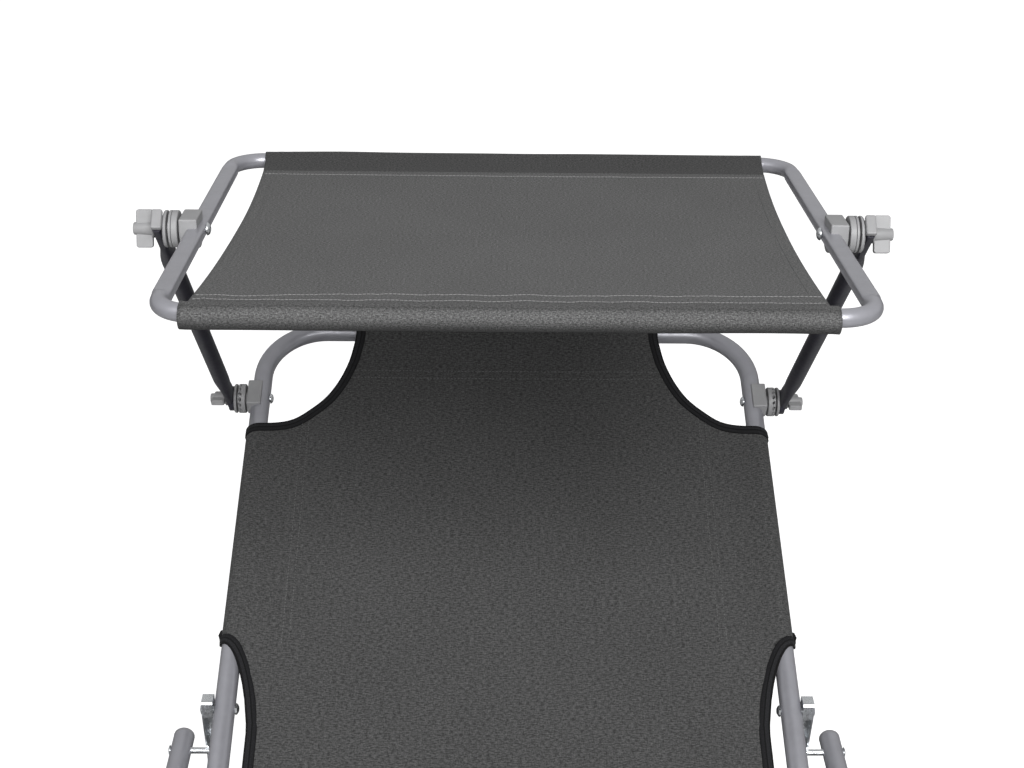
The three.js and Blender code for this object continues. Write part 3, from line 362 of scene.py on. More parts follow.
def lerp(a: float, b: float, t: float) -> float:
    """The value a share of the way from a to b."""
    return a + (b - a) * t


def spline(stops: Sequence[Pair], fine: int = 8) -> list[Pair]:
    """A smooth curve through its stops.

    Args:
        stops: The points that it passes.
        fine: How many points it gets between two stops.

    Returns:
        The curve's points.
    """

    def blend(p: float, q: float, r: float, s: float, t: float) -> float:
        """One coordinate of the curve between its stops q and r."""
        bend = (2 * p - 5 * q + 4 * r - s) * t**2
        return 0.5 * (2 * q + (r - p) * t + bend + (3 * q - p - 3 * r + s) * t**3)

    way = [stops[0], *stops, stops[-1]]
    made = []
    for corners in zip(way, way[1:], way[2:], way[3:]):
        for i in range(fine):
            made.append(tuple(blend(*values, i / fine) for values in zip(*corners)))
    return made + [stops[-1]]


def read_curve(curve: Sequence[Pair], value: float, key: int = 0) -> float:
    """Reads a curve whose points rise in both coordinates.

    Args:
        curve: The curve's points.
        value: The known coordinate.
        key: Which coordinate is known, 0 or 1.

    Returns:
        The other coordinate.
    """
    if value <= curve[0][key]:
        return curve[0][1 - key]
    for low, high in zip(curve, curve[1:]):
        if value <= high[key]:
            span = high[key] - low[key]
            return lerp(low[1 - key], high[1 - key], (value - low[key]) / span if span else 0.0)
    return curve[-1][1 - key]


def with_lengths(path: Sequence[Pair], before: Pair, start: float) -> list[Triple]:
    """Measures the way along a path's points.

    Args:
        path: Pairs of (place, height).
        before: Where the way starts.
        start: The length at that place.

    Returns:
        (place, height, length) of each point.
    """
    made = []
    walked = start
    for place, height in path:
        walked += math.hypot(place - before[0], height - before[1])
        before = (place, height)
        made.append((place, height, walked))
    return made


# Finishes


class NodeGraph:
    """A node tree with short ways to add and join nodes."""

    def __init__(self, tree: bpy.types.NodeTree) -> None:
        """Takes a tree and empties it."""
        self.tree = tree
        tree.nodes.clear()

    def node(
        self, kind: str, fills: dict[str | int, object] | None = None, **settings: object
    ) -> bpy.types.Node:
        """Adds a node, sets its properties and fills its inputs.

        Args:
            kind: The node's type.
            fills: What its inputs get, by their names or numbers.
            **settings: Its properties.

        Returns:
            The new node.
        """
        made = self.tree.nodes.new(kind)
        for key, value in settings.items():
            setattr(made, key, value)
        self.fill(made, fills or {})
        return made

    def fill(self, node: bpy.types.Node, fills: dict[str | int, object]) -> None:
        """Fills inputs of a node.

        Args:
            node: The node.
            fills: A value or another node's output for each input.
        """
        for key, value in fills.items():
            if isinstance(value, Socket):
                self.link(value, node.inputs[key])
            else:
                node.inputs[key].default_value = value

    def link(self, source: Socket, target: Socket) -> None:
        """Joins an output to an input."""
        self.tree.links.new(source, target)


class ShaderGraph(NodeGraph):
    """A material's node tree, with short ways to add what the finishes need."""

    def __init__(self, name: str) -> None:
        """Starts a material that has only its shader and output.

        Args:
            name: The material's name.
        """
        self.material = bpy.data.materials.new(name)
        self.material.use_nodes = True
        super().__init__(self.material.node_tree)
        self.output = self.node("ShaderNodeOutputMaterial")
        self.shader = self.node("ShaderNodeBsdfPrincipled")
        self.link(self.shader.outputs["BSDF"], self.output.inputs["Surface"])
        self.coords = self.node("ShaderNodeTexCoord")

    def set(self, **values: object) -> None:
        """Fills the shader's inputs, with spaces in their names written as underscores."""
        self.fill(self.shader, {key.replace("_", " "): value for key, value in values.items()})

    def mapped(self, scale: Triple, kind: str = "Object") -> Socket:
        """The piece's coordinates, scaled along each axis."""
        fills = {"Scale": scale, "Vector": self.coords.outputs[kind]}
        return self.node("ShaderNodeMapping", fills).outputs["Vector"]

    def noise(self, vector: Socket, scale: float, detail: float = 2, rough: float = 0.5) -> Socket:
        """A noise texture's value."""
        fills = {"Vector": vector, "Scale": scale, "Detail": detail, "Roughness": rough}
        return self.node("ShaderNodeTexNoise", fills).outputs["Fac"]

    def bands(self, vector: Socket, direction: str, scale: float) -> Socket:
        """A sine band pattern along X or Y."""
        fills, kind = {"Vector": vector, "Scale": scale}, {"bands_direction": direction}
        return self.node("ShaderNodeTexWave", fills, wave_type="BANDS", **kind).outputs["Fac"]

    def ramp(self, value: Socket, stops: Sequence[tuple[float, tuple[float, ...]]]) -> Socket:
        """A colour ramp over a value.

        Args:
            value: The value.
            stops: Pairs of (place, colour).

        Returns:
            The colour.
        """
        made = self.node("ShaderNodeValToRGB")
        elements = made.color_ramp.elements
        for element, (place, colour) in zip(elements, (stops[0], stops[-1])):
            element.position, element.color = place, colour
        for place, colour in stops[1:-1]:
            elements.new(place).color = colour
        self.link(value, made.inputs["Fac"])
        return made.outputs["Color"]

    def math(self, operation: str, a: Socket, b: Socket | float) -> Socket:
        """A math node's result for two values."""
        return self.node("ShaderNodeMath", {0: a, 1: b}, operation=operation).outputs[0]

    def mix(self, kind: str, share: float, a: Socket, b: Socket) -> Socket:
        """Two colours blended by a share."""
        fills = {"Factor": share, 6: a, 7: b}
        return self.node("ShaderNodeMix", fills, data_type="RGBA", blend_type=kind).outputs[2]

    def bump(self, height: Socket, strength: float, distance: float) -> None:
        """Adds a bump to the shader's normal, on top of any bump before it.

        Args:
            height: The height's pattern.
            strength: The bump's strength.
            distance: The height in metres.
        """
        fills = {"Strength": strength, "Distance": distance, "Height": height}
        target = self.shader.inputs["Normal"]
        if target.links:
            fills["Normal"] = target.links[0].from_socket
        self.link(self.node("ShaderNodeBump", fills).outputs["Normal"], target)


def grey(value: float, cool: float = 0.0) -> tuple[float, float, float, float]:
    """A grey, with a little more blue where it is cool."""
    return (value, value, value * (1 + cool), 1.0)


class OwnSlot:
    """A finish whose slot in the record has its own name."""

    @property
    def slot(self) -> str:
        """The record's slot."""
        return self.name


@dataclass(frozen=True)
class MottledFinish(OwnSlot):
    """A hard finish with slight colour variation, a fine grain and scuffed roughness."""

    name: str
    colour: tuple[float, float, float]
    metallic: float = 0.0
    roughness: float = 0.5
    coat: float = 0.0
    variation: float = 0.08
    patch_scale: float = 60.0
    grain_scale: float = 2200.0
    grain_height: float = 0.00004
    rough_spread: float = 0.12

    def material(self) -> bpy.types.Material:
        """Builds the finish's material."""
        graph = ShaderGraph(self.name)
        place = graph.mapped((1, 1, 1))
        patches = graph.noise(place, self.patch_scale, 4, 0.6)
        darker = (*(c * (1 - self.variation) for c in self.colour), 1)
        lighter = (*(c * (1 + self.variation) for c in self.colour), 1)
        base = graph.ramp(patches, [(0.3, darker), (0.7, lighter)])
        low, high = self.roughness - self.rough_spread / 2, self.roughness + self.rough_spread / 2
        scuffs = graph.noise(place, self.patch_scale * 4, 3, 0.65)
        rough = graph.ramp(scuffs, [(0.3, grey(low)), (0.72, grey(high))])
        graph.set(Base_Color=base, Roughness=rough, Metallic=self.metallic)
        graph.set(Coat_Weight=self.coat, Coat_Roughness=0.25)
        graph.bump(graph.noise(place, self.grain_scale, 2, 0.5), 0.5, self.grain_height)
        return graph.material


@dataclass(frozen=True)
class WovenFinish(OwnSlot):
    """A plain weave of mottled yarns, drawn on the cloth's own flat map, with painted light and
    shade along its length where stops are given.
    """

    name: str
    dark: float
    light: float
    pitch: float = 0.0009
    streak_width: float = 0.0012
    streak_length: float = 0.0038
    speckle: float = 0.22
    spot_scale: float = 800.0
    # Painted light and shade along the cloth, as pairs of (place along, tone).
    tones: tuple[Pair, ...] = ()

    def material(self) -> bpy.types.Material:
        """Builds the weave's material."""
        graph = ShaderGraph(self.name)
        flat = graph.mapped((1, 1, 1), "UV")
        long_x = graph.mapped((1 / self.streak_length, 1 / self.streak_width, 1), "UV")
        long_y = graph.mapped((1 / self.streak_width, 1 / self.streak_length, 1), "UV")
        stops = [(0.36, grey(self.dark)), (0.64, grey(self.light))]
        weft = graph.ramp(graph.noise(long_x, 1.0, 1, 0.5), stops)
        warp = graph.ramp(graph.noise(long_y, 1.0, 1, 0.5), stops)
        yarns = graph.mix("MIX", 0.30, weft, warp)
        dull, bright = grey(1 - self.speckle), grey(1 + self.speckle)
        spots = graph.noise(flat, self.spot_scale, 1, 0.5)
        spots = graph.ramp(spots, [(0.36, dull), (0.66, bright)])
        wide = graph.ramp(graph.noise(flat, 9.0, 4, 0.6), [(0.3, grey(0.93)), (0.7, grey(1.05))])
        base = graph.mix("MULTIPLY", 1.0, graph.mix("MULTIPLY", 1.0, yarns, spots), wide)
        # Multiplies in the painted shade and painted highlight along the cloth.
        if self.tones:
            base = graph.mix("MULTIPLY", 1.0, base, self.tone_along(graph, flat))
        graph.set(Base_Color=base, Roughness=0.9, Specular_IOR_Level=0.2)
        graph.set(Sheen_Weight=0.05, Sheen_Roughness=0.5)
        turns = math.pi / 10 / self.pitch
        weave = graph.math("MULTIPLY", graph.bands(flat, "X", turns), graph.bands(flat, "Y", turns))
        graph.bump(weave, 0.45, self.pitch * 0.25)
        graph.bump(graph.noise(flat, 420.0, 3, 0.6), 0.25, 0.0004)
        return graph.material

    def tone_along(self, graph: ShaderGraph, flat: Socket) -> Socket:
        """Paints light and shade along the cloth's length: painted shade under the front bar, in a
        line above its roll and on the rear sleeve, and a painted highlight on the roll's front
        band.

        Args:
            graph: The graph of the cloth's material.
            flat: The cloth's flat map, in metres.

        Returns:
            A colour to multiply the yarns with.
        """
        first, last = self.tones[0][0], self.tones[-1][0]
        along = graph.node("ShaderNodeSeparateXYZ", {"Vector": flat}).outputs["Y"]
        fills = {"Value": along, "From Min": first, "From Max": last}
        place = graph.node("ShaderNodeMapRange", fills)
        stops = [((v - first) / (last - first), grey(tone)) for v, tone in self.tones]
        return graph.ramp(place.outputs["Result"], stops)


# Painted light and shade at places along the cloth: painted shade under the front bar, in a dark
# line above its roll and over the whole rear sleeve, and a painted highlight on the roll's front
# band.
CANOPY_PAINTED_SHADE = (
    (-0.2140, 0.42), (-0.2095, 0.56), (-0.2058, 0.88), (-0.2015, 1.04), (-0.1990, 0.95),
    (-0.1962, 0.60), (-0.1935, 0.86), (-0.1660, 0.87), (-0.1600, 1.00), (0.1660, 1.00),
    (0.1695, 0.51),
)
# Painted light and shade across the tape: two ribs lightened as painted highlights, painted shade
# in the ditch between them and along both edges.
TAPE_PAINTED_RIB_SHADE = (
    (0.0, 0.3), (0.10, 0.4), (0.16, 1.4), (0.44, 1.6), (0.50, 0.3), (0.58, 0.35),
    (0.63, 1.2), (0.90, 1.0), (1.0, 0.3),
)


@dataclass(frozen=True)
class TapeFinish:
    """A near-black ribbed tape that binds a cut edge, with painted light and shade across its ribs.
    """

    name: str = "edge_tape"
    slot: str = "sling_cloth"
    colour: float = 0.0095
    rib: float = 0.0011
    width: float = 0.0090

    def material(self) -> bpy.types.Material:
        """Builds the tape's material."""
        graph = ShaderGraph(self.name)
        place = graph.mapped((1, 1, 1), "UV")
        dull, bright = grey(self.colour * 0.6), grey(self.colour * 1.9, 0.14)
        fibres = graph.ramp(graph.noise(place, 900.0, 3, 0.6), [(0.3, dull), (0.7, bright)])
        reach = graph.node("ShaderNodeSeparateXYZ", {"Vector": place}).outputs["Y"]
        share = graph.math("DIVIDE", reach, self.width)
        # Painted highlights on the ribs and painted shade in the ditch and along the edges.
        painted_rib_shade = graph.ramp(share, [(at, grey(tone)) for at, tone in TAPE_PAINTED_RIB_SHADE])
        graph.set(Base_Color=graph.mix("MULTIPLY", 1.0, fibres, painted_rib_shade), Roughness=0.8)
        graph.set(Sheen_Weight=0.03, Specular_IOR_Level=0.16)
        graph.bump(graph.bands(place, "X", math.pi / 10 / self.rib), 0.5, 0.00025)
        return graph.material


@dataclass(frozen=True)
class ThreadFinish:
    """Twisted sewing thread."""

    name: str
    colour: float
    slot: str

    def material(self) -> bpy.types.Material:
        """Builds the thread's material."""
        graph = ShaderGraph(self.name)
        place = graph.mapped((1, 1, 1))
        stops = [(0.3, grey(self.colour * 0.8)), (0.7, grey(self.colour * 1.3))]
        base = graph.ramp(graph.noise(place, 1800.0, 2, 0.5), stops)
        graph.set(Base_Color=base, Roughness=0.6, Sheen_Weight=0.2)
        return graph.material


class Wardrobe:
    """The finishes of the lounger, each made into a material once."""

    def __init__(self) -> None:
        """Builds every material."""
        paint = {"metallic": 0.35, "roughness": 0.34, "coat": 0.15, "variation": 0.05}
        grain = {"grain_scale": 1500.0, "grain_height": 0.00006}
        canopy_yarn = (0.0008, 0.0020, 0.28, 1250.0)
        finishes = (
            MottledFinish("frame_paint", (0.345, 0.345, 0.376), **paint),
            MottledFinish("arm_paint", (0.0250, 0.0240, 0.0355), 0.0, 0.46, 0.05, 0.15),
            MottledFinish("zinc", (0.70, 0.72, 0.74), 1.0, 0.30, 0.0, 0.10, 180.0),
            MottledFinish("joint_plastic", (0.315, 0.315, 0.321), 0.0, 0.46, 0.0, 0.05, **grain),
            MottledFinish("cap_plastic", (0.27, 0.27, 0.285), 0.0, 0.5, 0.0, 0.06, **grain),
            # The sling cloth is darker than the canopy cloth: partly their own tones, partly
            # painted shade on the sling and painted light on the canopy's top.
            WovenFinish("sling_cloth", 0.034, 0.105),
            WovenFinish("canopy_cloth", 0.055, 0.165, 0.0009, *canopy_yarn, CANOPY_PAINTED_SHADE),
            TapeFinish(),
            ThreadFinish("sling_thread", 0.115, "sling_cloth"),
            ThreadFinish("canopy_thread", 0.23, "canopy_cloth"),
            ThreadFinish("hem_thread", 0.075, "canopy_cloth"),
        )
        self.finishes = {finish.name: finish for finish in finishes}
        self.materials = {key: finish.material() for key, finish in self.finishes.items()}

    def dress(self, obj: bpy.types.Object, key: str) -> None:
        """Gives an object a finish.

        Args:
            obj: The object.
            key: The finish.
        """
        obj.data.materials.clear()
        obj.data.materials.append(self.materials[key])


# Making pieces


@dataclass
class Maker:
    """Turns shells into named pieces that ride on the frame's bodies."""

    wardrobe: Wardrobe

    def mesh_object(
        self, name: str, shell: Shell, matrix: Matrix, key: str, sharp: float = 32.0
    ) -> bpy.types.Object:
        """A mesh object with its place in its mesh and smooth shading up to a sharp angle.

        Args:
            name: The piece's name.
            shell: Its surface in the sub-assembly's frame.
            matrix: Where that frame is in the row frame.
            key: The finish.
            sharp: The angle in degrees above which an edge stays sharp.

        Returns:
            The new object.
        """
        mesh = bpy.data.meshes.new(name)
        mesh.from_pydata([matrix @ p for p in shell.points], [], shell.faces)
        work = bmesh.new()
        work.from_mesh(mesh)
        if shell.flat:
            layer = work.loops.layers.uv.new("UVMap")
            work.verts.ensure_lookup_table()
            for face in work.faces:
                for loop in face.loops:
                    loop[layer].uv = shell.flat[loop.vert.index]
        bmesh.ops.remove_doubles(work, verts=work.verts, dist=1e-7)
        bmesh.ops.recalc_face_normals(work, faces=work.faces)
        work.to_mesh(mesh)
        work.free()
        mesh.shade_smooth()
        mesh.set_sharp_from_angle(angle=math.radians(sharp))
        obj = bpy.data.objects.new(name, mesh)
        bpy.context.scene.collection.objects.link(obj)
        self.wardrobe.dress(obj, key)
        return obj

    def cloth(
        self, name: str, shell: Shell, matrix: Matrix, key: str, wall: float
    ) -> bpy.types.Object:
        """Makes a piece of cloth from its mid surface.

        Args:
            name: The piece's name.
            shell: The mid surface.
            matrix: Places it.
            key: Its finish.
            wall: How thick the cloth is.

        Returns:
            The new object, on no body yet.
        """
        obj = self.mesh_object(name, shell, matrix, key, 60)
        modifier = obj.modifiers.new("cloth", "SOLIDIFY")
        modifier.thickness = wall
        modifier.offset = 0.0
        return obj

    def piece(
        self,
        name: str,
        shell: Shell,
        matrix: Matrix,
        key: str,
        body: str,
        nodes: Sequence[str] = (),
        bevel: float = 0.0,
    ) -> bpy.types.Object:
        """A finished rigid piece on a body.

        Args:
            name: The piece's name.
            shell: Its surface in the sub-assembly's frame.
            matrix: Where that frame is in the row frame.
            key: The finish.
            body: The CAD body that it rides on.
            nodes: The CAD nodes that it stands for.
            bevel: The width of the rounding on its sharp edges, or 0 for none.

        Returns:
            The new object.
        """
        obj = self.mesh_object(name, shell, matrix, key)
        if bevel:
            rounding = obj.modifiers.new("rounding", "BEVEL")
            rounding.width = bevel
            rounding.segments = 3
            rounding.limit_method = "ANGLE"
            rounding.angle_limit = math.radians(40)
            rounding.harden_normals = True
        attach(obj, body)
        if nodes:
            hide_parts(*nodes)
        LOG.info("piece %s on %s", name, body)
        return obj


# Geometry node trees


class NodeTreeBuilder(NodeGraph):
    """A geometry node tree with named inputs, built from scratch."""

    def __init__(self, name: str) -> None:
        """Starts a tree with a geometry input and output.

        Args:
            name: The tree's name.
        """
        super().__init__(bpy.data.node_groups.new(name, "GeometryNodeTree"))
        for way in ("INPUT", "OUTPUT"):
            self.tree.interface.new_socket("Geometry", in_out=way, socket_type="NodeSocketGeometry")
        self.enter = self.node("NodeGroupInput")
        self.leave = self.node("NodeGroupOutput")

    def value_input(self, name: str, kind: str, value: float | int | None = None) -> None:
        """Adds a named input.

        Args:
            name: The input's name.
            kind: Its socket type without the leading NodeSocket.
            value: Its default, or None for a material.
        """
        kind = "NodeSocket" + kind
        socket = self.tree.interface.new_socket(name, in_out="INPUT", socket_type=kind)
        if value is not None:
            socket.default_value = value

    def size(self, *names: str) -> Socket:
        """A vector made of three named inputs, for X, Y and Z."""
        fills = {axis: self.enter.outputs[name] for axis, name in zip("XYZ", names)}
        return self.node("ShaderNodeCombineXYZ", fills).outputs["Vector"]

    def scatter(self, points: Socket, shape: Socket, along: Socket, paint: str) -> bpy.types.Node:
        """Sets a shape on points, with its X axis along a direction, and ends the tree.

        Args:
            points: Where the shapes go.
            shape: The shape.
            along: Each shape's direction.
            paint: The input that holds the material.

        Returns:
            The node that sets the shapes.
        """
        turn = self.node("FunctionNodeAlignRotationToVector", {"Vector": along}, axis="X")
        fills = {"Points": points, "Instance": shape, "Rotation": turn.outputs["Rotation"]}
        lay = self.node("GeometryNodeInstanceOnPoints", fills)
        real = self.node("GeometryNodeRealizeInstances", {"Geometry": lay.outputs["Instances"]})
        fills = {"Geometry": real.outputs["Geometry"], "Material": self.enter.outputs[paint]}
        dressed = self.node("GeometryNodeSetMaterial", fills)
        self.link(dressed.outputs["Geometry"], self.leave.inputs["Geometry"])
        return lay

    def apply(
        self, obj: bpy.types.Object, name: str, values: dict[str, object]
    ) -> bpy.types.Object:
        """Runs the tree on an object and returns its result as a plain mesh.

        Args:
            obj: The object whose mesh goes in, which is removed afterwards.
            name: The result's name.
            values: The tree's named inputs.

        Returns:
            A new object with no modifier.
        """
        modifier = obj.modifiers.new("tree", "NODES")
        modifier.node_group = self.tree
        for item in self.tree.interface.items_tree:
            if item.item_type == "SOCKET" and item.in_out == "INPUT" and item.name in values:
                modifier[item.identifier] = values[item.name]
        view = bpy.context.evaluated_depsgraph_get()
        mesh = bpy.data.meshes.new_from_object(obj.evaluated_get(view))
        mesh.name = name
        obj.modifiers.remove(modifier)
        bpy.data.objects.remove(obj)
        made = bpy.data.objects.new(name, mesh)
        bpy.context.scene.collection.objects.link(made)
        return made


class StitchTree(NodeTreeBuilder):
    """Lays short thread stitches along the edges of a line mesh."""

    def __init__(self) -> None:
        """Builds the tree."""
        super().__init__("stitch_row")
        self.value_input("Pitch", "Float", 0.0034)
        self.value_input("Stitch Length", "Float", 0.0025)
        self.value_input("Thread Width", "Float", 0.0006)
        self.value_input("Thread", "Material")
        line = self.node("GeometryNodeMeshToCurve", {"Mesh": self.enter.outputs["Geometry"]})
        fills = {"Curve": line.outputs["Curve"], "Length": self.enter.outputs["Pitch"]}
        even = self.node("GeometryNodeCurveToPoints", fills, mode="LENGTH").outputs
        bead = self.node("GeometryNodeMeshUVSphere", {"Segments": 6, "Rings": 4, "Radius": 0.5})
        size = self.size("Stitch Length", "Thread Width", "Thread Width")
        lay = self.scatter(even["Points"], bead.outputs["Mesh"], even["Tangent"], "Thread")
        self.link(size, lay.inputs["Scale"])


class ToothTree(NodeTreeBuilder):
    """Sets radial teeth in a ring about the Z axis."""

    def __init__(self) -> None:
        """Builds the tree."""
        super().__init__("tooth_ring")
        self.value_input("Teeth", "Int", 16)
        self.value_input("Ring Radius", "Float", 0.0123)
        self.value_input("Tooth Length", "Float", 0.0037)
        self.value_input("Tooth Width", "Float", 0.0028)
        self.value_input("Tooth Height", "Float", 0.0012)
        self.value_input("Plastic", "Material")
        enter = self.enter.outputs
        fills = {"Vertices": enter["Teeth"], "Radius": enter["Ring Radius"]}
        ring = self.node("GeometryNodeMeshCircle", fills)
        size = self.size("Tooth Length", "Tooth Width", "Tooth Height")
        tooth = self.node("GeometryNodeMeshCube", {"Size": size})
        way = self.node("GeometryNodeInputPosition").outputs["Position"]
        self.scatter(ring.outputs["Mesh"], tooth.outputs["Mesh"], way, "Plastic")


def line_object(name: str, lines: Sequence[Sequence[Vector]]) -> bpy.types.Object:
    """An object of plain edges, one chain for each line.

    Args:
        name: The object's name.
        lines: The points of each line.

    Returns:
        The new object.
    """
    points: list[Vector] = []
    edges: list[tuple[int, int]] = []
    for line in lines:
        start = len(points)
        points.extend(line)
        edges.extend((start + i, start + i + 1) for i in range(len(line) - 1))
    mesh = bpy.data.meshes.new(name)
    mesh.from_pydata(points, edges, [])
    obj = bpy.data.objects.new(name, mesh)
    bpy.context.scene.collection.objects.link(obj)
    return obj


# Frame tubes


@dataclass(frozen=True)
class BentTube:
    """A U of round tube whose two ends are pressed flat on their pins."""

    half: float
    length: float
    radius: float = LAYOUT.tube_r
    bend: float = LAYOUT.tube_bend
    pressed: float = 0.010
    width: float = 0.022
    flat: float = 0.014
    run: float = 0.026

    def path(self) -> list[Vector]:
        """The centreline from the left end to the right one."""
        tail = -self.width / 2
        fine = [tail * math.cos(math.pi / 2 * i / 8) for i in range(9)]
        rise = [self.flat * i / 2 for i in (1, 2)]
        rise += [self.flat + self.run * i / 8 for i in range(1, 9)]
        ys = fine + rise + [self.length / 2, self.length - self.bend]
        side = [Vector((-self.half, y, 0)) for y in ys]
        for i in range(1, 17):
            a = math.pi / 2 * i / 16
            x = -self.half + self.bend * (1 - math.cos(a))
            side.append(Vector((x, self.length - self.bend * (1 - math.sin(a)), 0)))
        return side + [Vector((-p.x, p.y, 0)) for p in reversed(side)]

    def section(self, point: Vector) -> list[Pair]:
        """The tube's cross-section at a point of its centreline.

        Args:
            point: The point.

        Returns:
            Pairs of (across, along the normal).
        """
        share = smooth((self.flat + self.run - point.y) / self.run)
        if abs(abs(point.x) - self.half) > 1e-6:
            share = 0.0
        return flattened(self.pressed / 2, round_end(self.width / 2, point.y), share, self.radius)

    def shell(self) -> Shell:
        """The tube's surface in the U's own frame."""
        path = self.path()
        return swept(path, UP, lambda i: self.section(path[i]))


# Cloth


@dataclass(frozen=True)
class SleevePath:
    """The way that cloth takes from a seam over a tube and back under it."""

    tube: float
    seam: float
    radius: float
    drop: float = 0.0
    hug: float = 0.0
    crease: float = 0.0
    crease_at: float = 0.70
    crease_width: float = 0.12
    tuck: float = 0.008
    under: float = -0.0016

    def points(self, step: float = 0.003) -> list[Pair]:
        """Points of (place, height) from the seam on top to the tucked end below.

        Args:
            step: How far apart the points on the arc are.

        Returns:
            The points, with heights above the sheet's own plane.
        """
        run = self.tube - self.seam
        away = math.hypot(run, self.drop)
        lean = math.acos(self.radius / away)
        tilt = math.atan2(self.drop, run)
        high = math.pi - lean - tilt + self.hug
        low = -(math.pi - lean) - tilt
        count = max(12, round(self.radius * (high - low) / step))
        made = self.lead(run, high, max(4, round(run / (0.003 if self.hug else 0.006))))
        for i in range(count + 1):
            a = lerp(high, low, i / count)
            off = (a - self.crease_at) / self.crease_width
            r = self.radius - self.crease * math.exp(-(off**2))
            made.append((self.tube + r * math.cos(a), -self.drop + r * math.sin(a)))
        place, height = made[-1]
        back = max(4, round(run / 0.006))
        for i in range(1, back + 1):
            t = i / back
            made.append((lerp(place, self.seam + 0.002, t), lerp(height, self.under, t)))
        made.append((self.seam - self.tuck, self.under + 0.0002))
        return made

    def lead(self, run: float, high: float, count: int) -> list[Pair]:
        """The stretch between the seam and the place where the cloth meets the tube.

        Args:
            run: The seam's distance from the tube's centre.
            high: The angle on the tube where the cloth meets it.
            count: How many points the stretch has.

        Returns:
            The points, without the one on the tube.
        """
        top = (self.tube + self.radius * math.cos(high), -self.drop + self.radius * math.sin(high))
        if not self.hug:
            shares = [i / count for i in range(count)]
            return [(lerp(self.seam, top[0], t), lerp(0.0, top[1], t)) for t in shares]
        reach = run * 0.38
        into = (math.sin(high) * reach, -math.cos(high) * reach)
        ends = list(zip((self.seam, 0.0), (run, 0.0), top, into))
        made = []
        for i in range(count):
            t = i / count
            a, b = 2 * t**3 - 3 * t**2 + 1, t**3 - 2 * t**2 + t
            c, d = 3 * t**2 - 2 * t**3, t**3 - t**2
            made.append(tuple(p * a + u * b + q * c + v * d for p, u, q, v in ends))
        return made


# The corner cut-out: how far down from the end bar, and how far across the cloth reaches there.
CORNER_CURVE = spline(
    [
        (0.0, 0.1514), (0.008, 0.1515), (0.014, 0.1521), (0.021, 0.1535), (0.030, 0.1553),
        (0.039, 0.1575), (0.0475, 0.1600), (0.057, 0.1632), (0.069, 0.1682),
        (0.082, 0.1752), (0.092, 0.1827), (0.1003, 0.1907), (0.1080, 0.1987),
        (0.1140, 0.2065), (0.1183, 0.2145), (0.1215, 0.2230), (0.1245, 0.2330),
        (0.1270, 0.2430), (0.1285, 0.2520),
    ]
)
# The folded tape's outline as shares of its width and of half its thickness.
TAPE_OUTLINE = (
    (-0.0006, 0.0), (-0.0002, 0.8), (0.0010, 1.0), (0.40, 0.95), (0.50, 1.2), (0.60, 0.95),
    (0.94, 0.95), (1.0, 0.6), (1.0, -0.6), (0.93, -0.95), (0.5, -1.0), (0.0010, -1.0),
    (-0.0002, -0.8),
)


@dataclass(frozen=True)
class SectionCut:
    """The cut-outs of a section's cloth, in its own frame."""

    length: float
    edge: float
    tongue: float = 0.2207
    tongue_end: float = 0.100
    side_start: float = 0.184

    def hinge_line(self, x: float) -> float:
        """How far along the cloth starts beside the tongue, at a place across."""
        t = min(1.0, max(0.0, (x - self.tongue) / (self.edge - self.tongue)))
        return lerp(self.tongue_end, self.side_start, (1 - (1 - t) ** 2) ** 0.7)

    def corner_line(self, x: float) -> float:
        """How far along the cloth reaches at the corner cut-out, at a place across."""
        return self.length - read_curve(CORNER_CURVE, x, 1)

    def corner_edge(self, down: float) -> float:
        """How far across the cloth reaches at a distance down from the end bar."""
        return read_curve(CORNER_CURVE, down)


@dataclass
class ClothGrid:
    """A sheet built row by row."""

    shell: Shell = field(default_factory=Shell)

    def patch(self, rows: Sequence[Sequence[Spot]]) -> None:
        """Adds a patch of points and the faces between them.

        Args:
            rows: The points, each with its place on the flat cloth.
        """
        start = len(self.shell.points)
        width = len(rows[0])
        for row in rows:
            for point, flat in row:
                self.shell.points.append(point)
                self.shell.flat.append(flat)
        for j in range(len(rows) - 1):
            for i in range(width - 1):
                a = start + j * width + i
                self.shell.faces.append((a, a + 1, a + 1 + width, a + width))


def tape_shell(
    edge: Sequence[tuple[Vector, Vector]], width: float = 0.0090, thick: float = 0.0030
) -> Shell:
    """A tape folded over a cut edge.

    Args:
        edge: Pairs of a point on the edge and a point inside the cloth beside it.
        width: How far the tape reaches over the cloth.
        thick: The folded tape's thickness.

    Returns:
        The tape's surface, mapped along its length.
    """
    shell = Shell()
    walked = 0.0
    for i, (point, inner) in enumerate(edge):
        before = edge[max(i - 1, 0)][0]
        after = edge[min(i + 1, len(edge) - 1)][0]
        tangent = (after - before).normalized()
        inward = inner - point
        inward = (inward - tangent * inward.dot(tangent)).normalized()
        up = tangent.cross(inward).normalized()
        if i:
            walked += (point - edge[i - 1][0]).length
        for place, height in TAPE_OUTLINE:
            reach = place * width if place > 0.01 else place
            shell.points.append(point + inward * reach + up * (height * thick / 2))
            shell.flat.append((walked, reach))
    shell.faces = ring_faces(len(edge), len(TAPE_OUTLINE))
    return shell


def cut_edge(outer: Sequence[Spot], inner: Sequence[Spot]) -> list[tuple[Vector, Vector]]:
    """Pairs of each point on a cut edge and the point beside it inside the cloth."""
    return [(a[0], b[0]) for a, b in zip(outer, inner)]


